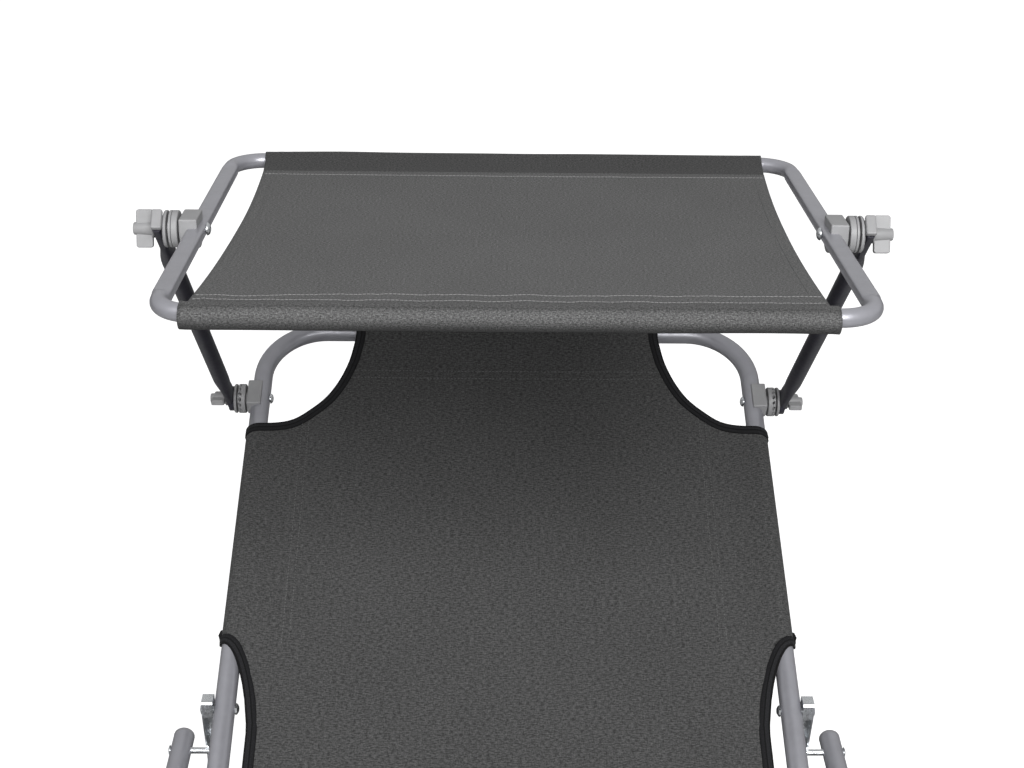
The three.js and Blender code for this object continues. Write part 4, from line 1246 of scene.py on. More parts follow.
@dataclass
class Sling:
    """One continuous sheet from the middle of the seat to the end of a folding section."""

    name: str
    length: float
    section: Matrix
    seat: Matrix
    section_body: str
    nodes: tuple[str, ...]
    thickness: float = 0.0009
    seam_in: float = 0.043
    sleeve_r: float = 0.00955
    seat_tongue: float = 0.075
    seat_sleeve: float = 0.125
    tongue: float = 0.2207
    sag: float = 0.004
    seat_half: float = 0.300
    ease: float = 0.12
    hinge_reach: float = 0.035
    rise_start: float = 0.100
    rise_run: float = 0.055
    step: float = 0.006
    sewn_on: float = 0.075

    def __post_init__(self) -> None:
        """Works out the sleeves and the cut-outs."""
        back_x, rail_x = LAYOUT.back_x, LAYOUT.rail_x
        self.cut = SectionCut(self.length, back_x + self.sleeve_r)
        self.back_seam = back_x - self.seam_in
        self.rail_seam = rail_x - self.seam_in
        self.end_seam = self.length - self.seam_in
        self.side_path = SleevePath(back_x, self.back_seam, self.sleeve_r, hug=0.12).points()
        self.rail_path = SleevePath(rail_x, self.rail_seam, self.sleeve_r).points()
        self.end_path = SleevePath(self.length, self.end_seam, self.sleeve_r, hug=0.12).points()
        self.edges: list[list[tuple[Vector, Vector]]] = []

    def ripple(self, x: float, s: float, spread: float) -> float:
        """Small unevenness of the taut cloth.

        Args:
            x: The place across.
            s: The place along.
            spread: How strong it is, from 0 to 1.

        Returns:
            The height that it adds.
        """
        slow = noise.noise(Vector((x * 7.0, s * 5.0, 3.1 + self.length)))
        quick = noise.noise(Vector((x * 26.0, s * 14.0, 9.7)))
        return (slow * 0.0011 + quick * 0.00035) * spread

    def settle(self, x: float, s: float, seam: float, along: float) -> float:
        """How far the sag and the ripples move a point of the cloth.

        Args:
            x: The place across.
            s: The place along.
            seam: Where the side sleeve is sewn.
            along: How free the cloth is at that place along it, from 0 to 1.

        Returns:
            The height above the flat sheet.
        """
        across = max(0.0, 1 - (x / seam) ** 2)
        ripple = self.ripple(x, s, along * (0.3 + 0.7 * min(1.0, across * 3)))
        return ripple - self.sag * across * along

    def on_section(self, x: float, s: float, height: float = 0.0) -> Vector:
        """A point of the section's sheet, sagged and rippled, in the row frame."""
        along = smooth(s / self.ease) * smooth((self.length - s) / self.ease)
        return self.section @ Vector((x, s, height + self.settle(x, s, self.back_seam, along)))

    def on_seat(self, x: float, back: float, height: float = 0.0) -> Vector:
        """A point of the seat's sheet at a distance back from the hinge, in the row frame."""
        along = smooth(back / self.ease)
        return self.seat @ Vector((x, -back, height + self.settle(x, -back, self.rail_seam, along)))

    def over_hinge(self, x: float, s: float) -> Vector:
        """A point of the tongue near the hinge, on a soft bend between the two planes.

        Args:
            x: The place across.
            s: The place along, less than 0 on the seat.

        Returns:
            The point in the row frame.
        """
        reach = self.hinge_reach
        if s >= reach:
            return self.on_section(x, s)
        if s <= -reach:
            return self.on_seat(x, -s)
        t = (s + reach) / (2 * reach)
        a, c = self.on_seat(x, reach), self.on_section(x, reach)
        hinge = self.section @ Vector((x, 0, 0))
        return a * (1 - t) ** 2 + hinge * (2 * t * (1 - t)) + c * t**2

    def on_tongue(self, x: float, s: float) -> Vector:
        """A point of the tongue, from the hinge up to where the side sleeves begin."""
        return self.over_hinge(x, s) if s < 0.09 else self.on_section(x, s, self.lift(abs(x), s))

    def columns(self) -> list[float]:
        """Places across the sheet, closer together where the corner cut-out is steep."""
        corner, seam = self.cut.corner_edge(self.seam_in), self.back_seam
        right = [corner * i / 22 for i in range(23)]
        right += [corner + (seam - corner) * (i / 14) ** 1.8 for i in range(1, 15)]
        right += [lerp(seam, self.tongue, i / 5) for i in range(1, 6)]
        return [-x for x in reversed(right[1:])] + right

    def lift(self, x: float, s: float) -> float:
        """How far the top layer of the side sleeve is above the sheet's plane.

        Args:
            x: The place across, from the middle.
            s: The place along.

        Returns:
            The height.
        """
        if x <= self.back_seam:
            return 0.0
        pairs = zip(self.side_path, self.side_path[1:])
        low, high = next(pair for pair in pairs if x <= pair[1][0] + 1e-9)
        height = lerp(low[1], high[1], (x - low[0]) / (high[0] - low[0]))
        return height * self.rise(s)

    def rise(self, s: float) -> float:
        """The share of its height that the side sleeve's top layer has at a place along it."""
        return smooth((s - self.rise_start) / self.rise_run)

    def top_of(self, x: float) -> float:
        """Where the sheet's core ends at a place across: at the end seam or the corner cut-out."""
        inside = abs(x) <= self.cut.corner_edge(self.seam_in) + 1e-6
        return self.end_seam if inside else min(self.end_seam, self.cut.corner_line(abs(x)))

    def build(self) -> Shell:
        """Builds the whole sheet.

        Returns:
            The sheet's mid surface, mapped to the flat cloth.
        """
        grid = ClothGrid()
        xs = self.columns()
        low = self.cut.tongue_end
        rows = 52
        core = []
        for j in range(rows + 1):
            row = []
            for x in xs:
                s = lerp(low, self.top_of(x), j / rows)
                row.append((self.on_section(x, s, self.lift(abs(x), s)), (x, s)))
            core.append(row)
        grid.patch(core)
        end_rows = self.end_sleeve(grid, xs)
        for side in (-1, 1):
            self.side_sleeve(grid, side, core, end_rows)
        self.tongue_and_seat(grid, xs)
        return grid.shell

    def end_sleeve(self, grid: ClothGrid, xs: Sequence[float]) -> Rows:
        """Adds the sleeve round the end bar, between the two corner cut-outs.

        Args:
            grid: The sheet so far.
            xs: The columns of the sheet.

        Returns:
            The sleeve's rows.
        """
        half = self.cut.corner_edge(self.seam_in)
        inner = [x for x in xs if abs(x) <= half + 1e-6]
        rows = []
        for place, height, walked in with_lengths(self.end_path, self.end_path[0], 0.0):
            narrow = self.cut.corner_edge(max(0.0, self.seam_in - walked)) / half
            row = []
            for x in inner:
                across = x * lerp(1.0, narrow, smooth((abs(x) / half - 0.7) / 0.3))
                point = self.on_section(across, place, height)
                row.append((point, (across, self.end_seam + walked)))
            rows.append(row)
        grid.patch(rows)
        return rows

    def side_sleeve(self, grid: ClothGrid, side: int, core: Rows, end_rows: Rows) -> None:
        """Adds the sleeve round one side tube and keeps its two cut edges.

        Args:
            grid: The sheet so far.
            side: -1 for the left and 1 for the right.
            core: The core's rows, whose last column this joins.
            end_rows: The end sleeve's rows, whose cut edge goes on from this one's.
        """
        low, high = self.cut.tongue_end, self.top_of(self.tongue)
        column, beside = (-1, -2) if side > 0 else (0, 1)
        start = next(i for i, p in enumerate(self.side_path) if p[0] > self.tongue)
        before = (self.tongue, self.lift(self.tongue, low))
        way = with_lengths(self.side_path[start:], before, self.tongue)
        rows = len(core) - 1
        patch = []
        for j in range(rows + 1):
            row = [core[j][column]]
            for place, height, walked in way:
                begin = self.cut.hinge_line(place) + 0.010 * smooth(-height / 0.005)
                end = self.cut.corner_line(place)
                s = lerp(begin, min(high, end) if place < self.tongue else end, j / rows)
                on_top = height > 0 and place < LAYOUT.back_x - 0.004
                point = self.on_section(side * place, s, height * (self.rise(s) if on_top else 1.0))
                row.append((point, (side * walked, s)))
            patch.append(row)
        grid.patch(patch)
        tongue_x, inner_x = side * self.tongue, side * (self.tongue - 0.006)
        places = steps(-self.seat_tongue, low, self.step)
        down = [(self.on_tongue(tongue_x, s), self.on_tongue(inner_x, s)) for s in places]
        self.edges.append(down[:-1] + cut_edge(patch[0], patch[1]))
        half = self.cut.corner_edge(self.seam_in) - 1e-6
        corner = [pair for pair in zip(core[-1], core[-2]) if pair[0][1][0] * side >= half]
        if side > 0:
            corner.reverse()
        top = [(outer[0], inner[0]) for outer, inner in corner]
        up = [(row[column][0], row[beside][0]) for row in end_rows]
        self.edges.append(cut_edge(patch[-1], patch[-2])[::-1] + top[1:] + up[1:])

    def tongue_and_seat(self, grid: ClothGrid, xs: Sequence[float]) -> None:
        """Adds the tongue over the hinge and the seat's half with its rail sleeves.

        Args:
            grid: The sheet so far.
            xs: The columns of the sheet.
        """
        down = steps(self.cut.tongue_end, -self.seat_tongue, -self.step)
        grid.patch([[(self.on_tongue(x, s), (x, s)) for x in xs] for s in down])
        rows = 34
        back = [lerp(self.seat_tongue, self.seat_half, j / rows) for j in range(rows + 1)]
        core = [[(self.on_seat(x, b), (x, -b)) for x in xs] for b in back]
        grid.patch(core)
        edge = LAYOUT.rail_x + self.sleeve_r
        path = [(lerp(self.tongue, self.rail_seam, 0.5), 0.0), *self.rail_path]
        kept = [point for point in path if point[0] >= self.tongue + 1e-5 or point[1] < 0]
        way = with_lengths(kept, (self.tongue, 0.0), self.tongue)
        for side in (-1, 1):
            patch = []
            for j in range(rows + 1):
                row = [core[j][-1 if side > 0 else 0]]
                for place, height, walked in way:
                    t = min(1.0, max(0.0, (place - self.tongue) / (edge - self.tongue)))
                    first = lerp(self.seat_tongue, self.seat_sleeve, t**0.62)
                    depth = lerp(first, self.seat_half, j / rows)
                    row.append((self.on_seat(side * place, depth, height), (side * walked, -depth)))
                patch.append(row)
            grid.patch(patch)
            self.edges.append(cut_edge(patch[0], patch[1]))

    def stitch_lines(self) -> list[list[Vector]]:
        """The seams' stitch lines, just above the cloth."""
        lines: list[list[Vector]] = []
        up = self.thickness * 0.75
        for side in (-1, 1):
            for shift in (-0.0060, 0.0003):
                x = side * (self.back_seam + shift - (0.006 if side > 0 else 0.0))
                low = self.cut.side_start + (0.004 if shift > 0 else 0.010)
                high = self.cut.corner_line(abs(x)) - (0.012 if shift > 0 else 0.008)
                places = steps(low, high, self.step)
                lines.append([self.on_section(x, s, up + self.lift(abs(x), s)) for s in places])
                x = side * (self.rail_seam + shift)
                places = steps(self.seat_sleeve + 0.004, self.seat_half - 0.004, self.step)
                lines.append([self.on_seat(x, b, up) for b in places])
        for shift in (-0.0160, -0.0070):
            half = self.cut.corner_edge(self.seam_in - shift) - 0.0095
            places = steps(-half, half, self.step)
            lines.append([self.on_section(x, self.end_seam + shift, up) for x in places])
        return lines

    def make(self, maker: Maker, stitches: StitchTree, tube: str) -> None:
        """Makes the sheet, its edge tape and its stitches, blended over the hinge.

        Args:
            maker: Makes the pieces.
            stitches: Lays the thread.
            tube: The piece that holds the sheet beside the rails; not used.
        """
        flat = Matrix.Identity(4)
        sheet = maker.cloth(self.name, self.build(), flat, "sling_cloth", self.thickness)
        tapes = Shell()
        for edge in self.edges:
            tapes.join(tape_shell(edge))
        tape = maker.mesh_object(f"{self.name}_edge_tape", tapes, flat, "edge_tape", 50)
        lines = line_object(f"{self.name}_lines", self.stitch_lines())
        yarn = {"Thread": maker.wardrobe.materials["sling_thread"]}
        thread = stitches.apply(lines, f"{self.name}_stitches", yarn)
        for obj in (sheet, tape, thread):
            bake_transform(obj)
        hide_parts(*self.nodes)


def steps(start: float, end: float, step: float) -> list[float]:
    """Even places from start to end, no further apart than the step."""
    count = max(1, math.ceil(abs(end - start) / abs(step)))
    return [lerp(start, end, i / count) for i in range(count + 1)]


# Sub-assemblies


@dataclass
class SeatFrame:
    """The side rails with their caps, hinge bolts, spacers and catch studs."""

    cap_dome: float = 0.0045
    cap_lip: float = 0.002
    plug: float = 0.006
    plug_inset: float = 0.0015
    bolt_head_r: float = 0.0055
    bolt_head: float = 0.003
    shaft_r: float = 0.003
    pressed_half: float = 0.005
    spacer_bore: float = 0.0033
    spacer_end_r: float = 0.0060
    spacer_r: float = 0.0066
    spacer_round: float = 0.0008
    stud_gap: float = 0.0006
    stud_point: float = 0.0005
    stud_point_r: float = 0.0023
    stud_r: float = 0.00275
    stud_head_r: float = 0.0046
    stud_head: float = 0.0014

    def make(self, maker: Maker) -> None:
        """Makes the rails and what is fixed to them.

        Args:
            maker: Makes the pieces.
        """
        seat = LAYOUT.seat()
        low, high = -LAYOUT.seat_length - LAYOUT.rail_past_foot, LAYOUT.rail_past_head
        for side in Side:
            path = [Vector((side.value * LAYOUT.rail_x, y, 0)) for y in steps(low, high, 0.05)]
            rail = swept(path, UP, lambda i: ellipse(LAYOUT.tube_r, LAYOUT.tube_r))
            name = f"rail_{side.word}"
            maker.piece(name, rail, seat, "frame_paint", "seat_frame", [f"seat_{name}"])
            self.cap(maker, side, "head", high, math.pi / 2)
            self.cap(maker, side, "foot", low, -math.pi / 2)
            self.bolts(maker, side)
            self.stud(maker, side)

    def cap(self, maker: Maker, side: Side, end: str, y: float, turn: float) -> None:
        """Makes the cap in one end of a rail.

        Args:
            maker: Makes the pieces.
            side: The rail's side.
            end: head or foot.
            y: Where the rail ends.
            turn: The turn from +X to the way out of the rail.
        """
        r = LAYOUT.tube_r
        plug_r = r - self.plug_inset
        profile = [(0.0, -self.plug), (plug_r, -self.plug), (plug_r, 0.0), (r, FIT)]
        profile += [(r, self.cap_lip), *dome(r, self.cap_dome, FIT + self.cap_lip, 1)]
        shift = Matrix.Translation((side.value * LAYOUT.rail_x, y, 0))
        place = LAYOUT.seat() @ shift @ Matrix.Rotation(turn, 4, "Z")
        name = f"cap_{end}_{side.word}"
        maker.piece(name, turned(profile), place, "cap_plastic", "seat_frame", [f"rail_{name}"])

    def bolts(self, maker: Maker, side: Side) -> None:
        """Makes the hinge bolts of one rail and their spacer sleeves.

        Args:
            maker: Makes the pieces.
            side: The rail's side.
        """
        inner = LAYOUT.back_x - self.pressed_half - FIT
        outer = LAYOUT.rail_x + LAYOUT.tube_r + FIT
        shaft = [*reversed(dome(self.bolt_head_r, self.bolt_head, inner, -1))]
        shaft += [(self.shaft_r, inner), (self.shaft_r, outer)]
        shaft += dome(self.bolt_head_r, self.bolt_head, outer, 1)
        low = LAYOUT.back_x + self.pressed_half + FIT
        high = LAYOUT.rail_x - LAYOUT.tube_r - FIT
        collar = [(self.spacer_bore, low), (self.spacer_end_r, low)]
        collar += [(self.spacer_r, low + self.spacer_round)]
        collar += [(self.spacer_r, high - self.spacer_round)]
        collar += [(self.spacer_end_r, high), (self.spacer_bore, high), (self.spacer_bore, low)]
        kinds = (("bolt", shaft, "zinc"), ("spacer", collar, "joint_plastic"))
        for end, y in (("head", 0.0), ("foot", -LAYOUT.seat_length)):
            place = LAYOUT.seat() @ Matrix.Translation((0, y, 0))
            for kind, profile, finish in kinds:
                name = f"{end}_{kind}_{side.word}"
                node = f"{end}_hinge_{kind}_{side.word}"
                shell = turned(profile, side.value)
                maker.piece(name, shell, place, finish, "seat_frame", [node])

    def stud(self, maker: Maker, side: Side) -> None:
        """Makes the stud of one rail that catches the backrest's strut.

        Args:
            maker: Makes the pieces.
            side: The rail's side.
        """
        tip = LAYOUT.back_x + LAYOUT.tube_r + self.stud_gap
        outer = LAYOUT.rail_x + LAYOUT.tube_r + FIT
        profile = [(0.0, tip), (self.stud_point_r, tip), (self.stud_r, tip + self.stud_point)]
        profile += [(self.stud_r, outer), *dome(self.stud_head_r, self.stud_head, outer, 1)]
        shell = turned(profile, side.value, 28)
        place = LAYOUT.seat() @ Matrix.Translation((0, LAYOUT.stud_from_hinge, 0))
        name = f"stud_{side.word}"
        maker.piece(name, shell, place, "zinc", "seat_frame", [f"catch_{name}"])


@dataclass
class RatchetJoint:
    """A toothed joint: a saddle with a disc on the tube, and a ring with a flange on the arm."""

    tube_x: float
    tube_r: float
    body: str
    where: str
    dots: bool = True
    saddle_inner: float = 0.2395
    saddle_outer: float = 0.2534
    saddle_top: float = 0.0115
    saddle_r: float = 0.0145
    saddle_bevel: float = 0.0012
    disc_r: float = 0.0142
    disc_round: float = 0.0005
    neck: float = 0.0016
    neck_r: float = 0.0064
    sunk: float = 0.001
    disc: float = 0.0036
    boss_r: float = 0.0104
    boss_top_r: float = 0.0100
    boss: float = 0.0008
    tooth: float = 0.0011
    tooth_round: float = 0.0004
    tooth_at: float = 0.01235
    tooth_length: float = 0.0037
    tooth_width: float = 0.0028
    tooth_sunk: float = 0.0001
    ring_disc: float = 0.0017
    ring_groove: float = 0.0019
    ring_flange: float = 0.0026
    ring_pocket: float = 0.0004
    ring_round: float = 0.0003
    ring_edge: float = 0.0002
    flange_round: float = 0.0008
    head_r: float = 0.0050
    head: float = 0.0030
    shaft_r: float = 0.003
    bolt_end: float = 0.2881
    teeth: int = 16

    def make(self, maker: Maker, place: Matrix, ring_place: Matrix, tree: ToothTree) -> None:
        """Makes both halves of the joint on both sides, with the bolt through it.

        Args:
            maker: Makes the pieces.
            place: The joint's frame on the tube.
            ring_place: The joint's frame on the arms.
            tree: Sets the teeth.
        """
        for side in Side:
            self.saddle(maker, place, side, tree)
            self.ring(maker, ring_place, side, tree)
            self.bolt(maker, place, side)

    def tooth_ring(
        self, maker: Maker, name: str, place: Matrix, side: Side, low: float, tree: ToothTree
    ) -> bpy.types.Object:
        """Makes a ring of teeth that stands on a disc's face.

        Args:
            maker: Has the finishes.
            name: The ring's name.
            place: The joint's frame.
            side: The joint's side.
            low: Where the teeth start, from the middle of the lounger.
            tree: Sets the teeth.

        Returns:
            The ring.
        """
        height = self.tooth + self.tooth_sunk
        seed = line_object(f"{name}_seed", [[Vector((0, 0, 0)), Vector((0, 0, 0.001))]])
        values = {
            "Teeth": self.teeth,
            "Ring Radius": self.tooth_at,
            "Tooth Length": self.tooth_length,
            "Tooth Width": self.tooth_width,
            "Tooth Height": height,
            "Plastic": maker.wardrobe.materials["joint_plastic"],
        }
        ring = tree.apply(seed, name, values)
        turn = Matrix.Rotation(math.pi / 2, 4, "Y")
        shift = Matrix.Translation((side.value * (low + height / 2), 0, 0))
        ring.data.transform(place @ shift @ turn @ Matrix.Rotation(math.pi / self.teeth, 4, "Z"))
        return ring

    def saddle(self, maker: Maker, place: Matrix, side: Side, tree: ToothTree) -> None:
        """Makes the saddle block, its neck and its toothed disc.

        Args:
            maker: Makes the pieces.
            place: The joint's frame on the tube.
            side: The joint's side.
            tree: Sets the teeth.
        """
        r, top, rim = self.saddle_r, self.saddle_top, self.disc_r
        low, high = sorted((side.value * self.saddle_inner, side.value * self.saddle_outer))
        block = prism([(r, top), (-r, top), *arc((0, 0), r, 180, 360, 24)], low, high)
        name = f"{self.where}_saddle_{side.word}"
        bevel = self.saddle_bevel
        saddle = maker.piece(name, block, place, "joint_plastic", self.body, bevel=bevel)
        sunk, neck = self.saddle_outer - self.sunk, self.saddle_outer + self.neck
        face = neck + self.disc
        profile = [(0.0, sunk), (self.neck_r, sunk), (self.neck_r, neck)]
        profile += [(rim - self.disc_round, neck), (rim, neck + self.disc_round), (rim, face)]
        if self.dots:
            end = face + self.boss
            profile += [(self.boss_r, face), (self.boss_top_r, end), (0.0, end)]
        else:
            end = face + self.tooth
            profile += [(rim, end - self.tooth_round), (rim - self.tooth_round, end), (0.0, end)]
        disc = turned(profile, side.value, 56)
        maker.piece(f"{self.where}_disc_{side.word}", disc, place, "joint_plastic", self.body)
        if self.dots:
            name = f"{self.where}_disc_teeth_{side.word}"
            ring = self.tooth_ring(maker, name, place, side, face - self.tooth_sunk, tree)
            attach(ring, self.body)
        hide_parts(f"{self.where}_ratchet_saddle_{side.word}")

    def ring(self, maker: Maker, place: Matrix, side: Side, tree: ToothTree) -> None:
        """Makes the arm's ring: a disc, a groove and a flange, and the teeth on its face.

        Args:
            maker: Makes the pieces.
            place: The joint's frame on the arms.
            side: The joint's side.
            tree: Sets the teeth.
        """
        low = self.saddle_outer + self.neck + self.disc + self.tooth + FIT
        front = low + (self.tooth if self.dots else 0.0)
        disc = low + self.ring_disc
        flange = disc + self.ring_groove
        high = flange + self.ring_flange
        rim, edge = self.disc_r, self.disc_r - self.ring_round
        profile = [(0.0, low + self.ring_pocket), (self.boss_top_r, low + self.ring_pocket)]
        profile += [(self.boss_r, front), (edge, front), (rim, front + self.ring_edge)]
        profile += [(rim, disc), (self.neck_r, disc), (self.neck_r, flange), (edge, flange)]
        profile += [(rim, flange + self.ring_round), (rim, high - self.flange_round)]
        profile += [(rim - self.flange_round, high), (0.0, high)]
        name = f"{self.where}_ring_{side.word}"
        shell = turned(profile, side.value, 56)
        piece = maker.piece(name, shell, place, "joint_plastic", "canopy_arms")
        if self.dots:
            name = f"{self.where}_ring_teeth_{side.word}"
            ring = self.tooth_ring(maker, name, place, side, low, tree)
            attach(ring, "canopy_arms")
        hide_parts(f"{self.where}_ratchet_ring_{side.word}")

    def bolt(self, maker: Maker, place: Matrix, side: Side) -> None:
        """Makes the bolt with its domed head on the tube's inner side.

        Args:
            maker: Makes the pieces.
            place: The joint's frame on the tube.
            side: The joint's side.
        """
        inner = self.tube_x - self.tube_r - FIT
        profile = [*reversed(dome(self.head_r, self.head, inner, -1)), (self.shaft_r, inner)]
        profile += [(self.shaft_r, self.bolt_end), (0.0, self.bolt_end)]
        shell = turned(profile, side.value, 32)
        name = f"{self.where}_bolt_{side.word}"
        node = f"{self.where}_ratchet_bolt_{side.word}"
        maker.piece(name, shell, place, "zinc", self.body, [node])


@dataclass
class WingKnob:
    """A wing knob: a round hub with two flat wings."""

    start: float = 0.2742
    length: float = 0.0158
    base_r: float = 0.0070
    base: float = 0.0010
    base_round: float = 0.0004
    hub_r: float = 0.0056
    top_r: float = 0.0048
    shoulder: Pair = (0.0003, 0.0002)
    top_round: float = 0.0008
    dimple_r: float = 0.0022
    dimple_low_r: float = 0.0018
    dimple: float = 0.0006
    reach: float = 0.0145
    half: float = 0.0026
    wing_short: float = 0.0022
    corner: float = 0.0012
    wing_bevel: float = 0.0007

    def make(self, maker: Maker, place: Matrix, where: str, side: Side, angle: float) -> None:
        """Makes one knob.

        Args:
            maker: Makes the pieces.
            place: The joint's frame on the arms.
            where: lower or upper.
            side: The joint's side.
            angle: How far the wings are turned, in degrees.
        """
        turn = place @ Matrix.Rotation(math.radians(angle), 4, "X")
        body = f"{where}_knob_{side.word}"
        hub = maker.piece(body, turned(self.profile(), side.value, 40), turn, "joint_plastic", body)
        name = f"{where}_knob_wings_{side.word}"
        wings, bevel = self.wings(side), self.wing_bevel
        maker.piece(name, wings, turn, "joint_plastic", body, bevel=bevel)
        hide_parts(f"{where}_wing_knob_{side.word}")

    def profile(self) -> list[Pair]:
        """The hub's profile as (radius, place along the bolt)."""
        end, foot, edge = self.start + self.length, self.start + self.base, self.base_round
        along, down = self.shoulder
        made = [(0.0, self.start), (self.base_r, self.start), (self.base_r, foot - edge)]
        made += [(self.base_r - edge, foot), (self.hub_r, foot)]
        made += [(self.top_r, end - self.top_round), (self.top_r - along, end - down)]
        made += [(self.top_r - self.top_round, end), (self.dimple_r, end)]
        return made + [(self.dimple_low_r, end - self.dimple), (0.0, end - self.dimple)]

    def wings(self, side: Side) -> Shell:
        """Both wings as one flat plate through the hub.

        Args:
            side: The joint's side.

        Returns:
            The plate.
        """
        low, top = self.start + self.base, self.start + self.length - self.wing_short
        out, c = self.reach, self.corner
        right = [(out - c, top), (out, top - c), (out, low + c), (out - c, low)]
        outline = [(-y, x) for y, x in reversed(right)] + right
        plate = prism(outline, -self.half, self.half)
        plate.points = [Vector((side.value * p.z, p.y, p.x)) for p in plate.points]
        return plate


@dataclass
class CanopyArms:
    """The two dark arms between the ratchets, with pressed ends."""

    radius: float = 0.0075
    start: float = 0.2665
    pressed: float = 0.0074
    outward: float = 0.0018
    width: float = 0.018
    flat: float = 0.016
    run: float = 0.044
    tail: float = 0.013
    hub_base_r: float = 0.0116
    hub_r: float = 0.012
    hub: float = 0.005
    hub_round: float = 0.0005
    cap: float = 0.005
    cap_half: float = 0.008
    cap_over: float = 0.0006
    cap_bevel: float = 0.0014

    def share(self, y: float) -> float:
        """How far the arm is pressed at a place along it, from 0 to 1."""
        near = min(y, LAYOUT.arm_length - y)
        return smooth((self.flat + self.run - near) / self.run)

    def section(self, y: float) -> list[Pair]:
        """The arm's cross-section at a place along it."""
        half_up = round_end(self.width / 2, y)
        return flattened(self.pressed / 2, half_up, self.share(y), self.radius)

    def places(self) -> list[float]:
        """Places along an arm, close together where its shape changes."""
        length = LAYOUT.arm_length
        near = steps(0.004, self.flat + self.run, 0.005)
        made = [-self.width / 2 * math.cos(math.pi / 2 * i / 8) for i in range(9)]
        made += [*near, length / 2, *(length - y for y in reversed(near))]
        return made + [length, length + self.tail]

    def make(self, maker: Maker) -> None:
        """Makes both arms, their hubs and their end caps.

        Args:
            maker: Makes the pieces.
        """
        place, ys = LAYOUT.arms(), self.places()
        inner = self.start + self.pressed / 2
        low, top, r = self.start, self.start + self.hub, self.hub_r
        hub = [(0.0, low), (self.hub_base_r, low), (r, low + self.hub_round)]
        hub += [(r, top - self.hub_round), (r - self.hub_round, top), (0.0, top)]
        for side in Side:
            path = []
            for y in ys:
                out = inner + self.outward * (1 - self.share(y))
                path.append(Vector((side.value * out, y, 0)))
            shell = swept(path, UP, lambda i: self.section(ys[i]))
            shell.join(turned(hub, side.value, 40))
            name = f"arm_{side.word}"
            maker.piece(name, shell, place, "arm_paint", "canopy_arms", [f"canopy_{name}"])
            self.end_cap(maker, place, side)

    def end_cap(self, maker: Maker, place: Matrix, side: Side) -> None:
        """Makes the light cap that closes the arm's upper end.

        Args:
            maker: Makes the pieces.
            place: The arms' frame.
            side: The arm's side.
        """
        near, far = self.start - self.cap_over, self.start + self.pressed
        low, high = sorted((side.value * near, side.value * far))
        y, half = LAYOUT.arm_length + self.tail + FIT, self.cap_half
        outline = [(y, -half), (y + self.cap, -half), (y + self.cap, half), (y, half)]
        shell = prism(outline, low, high)
        name, bevel = f"arm_cap_{side.word}", self.cap_bevel
        maker.piece(name, shell, place, "joint_plastic", "canopy_arms", bevel=bevel)


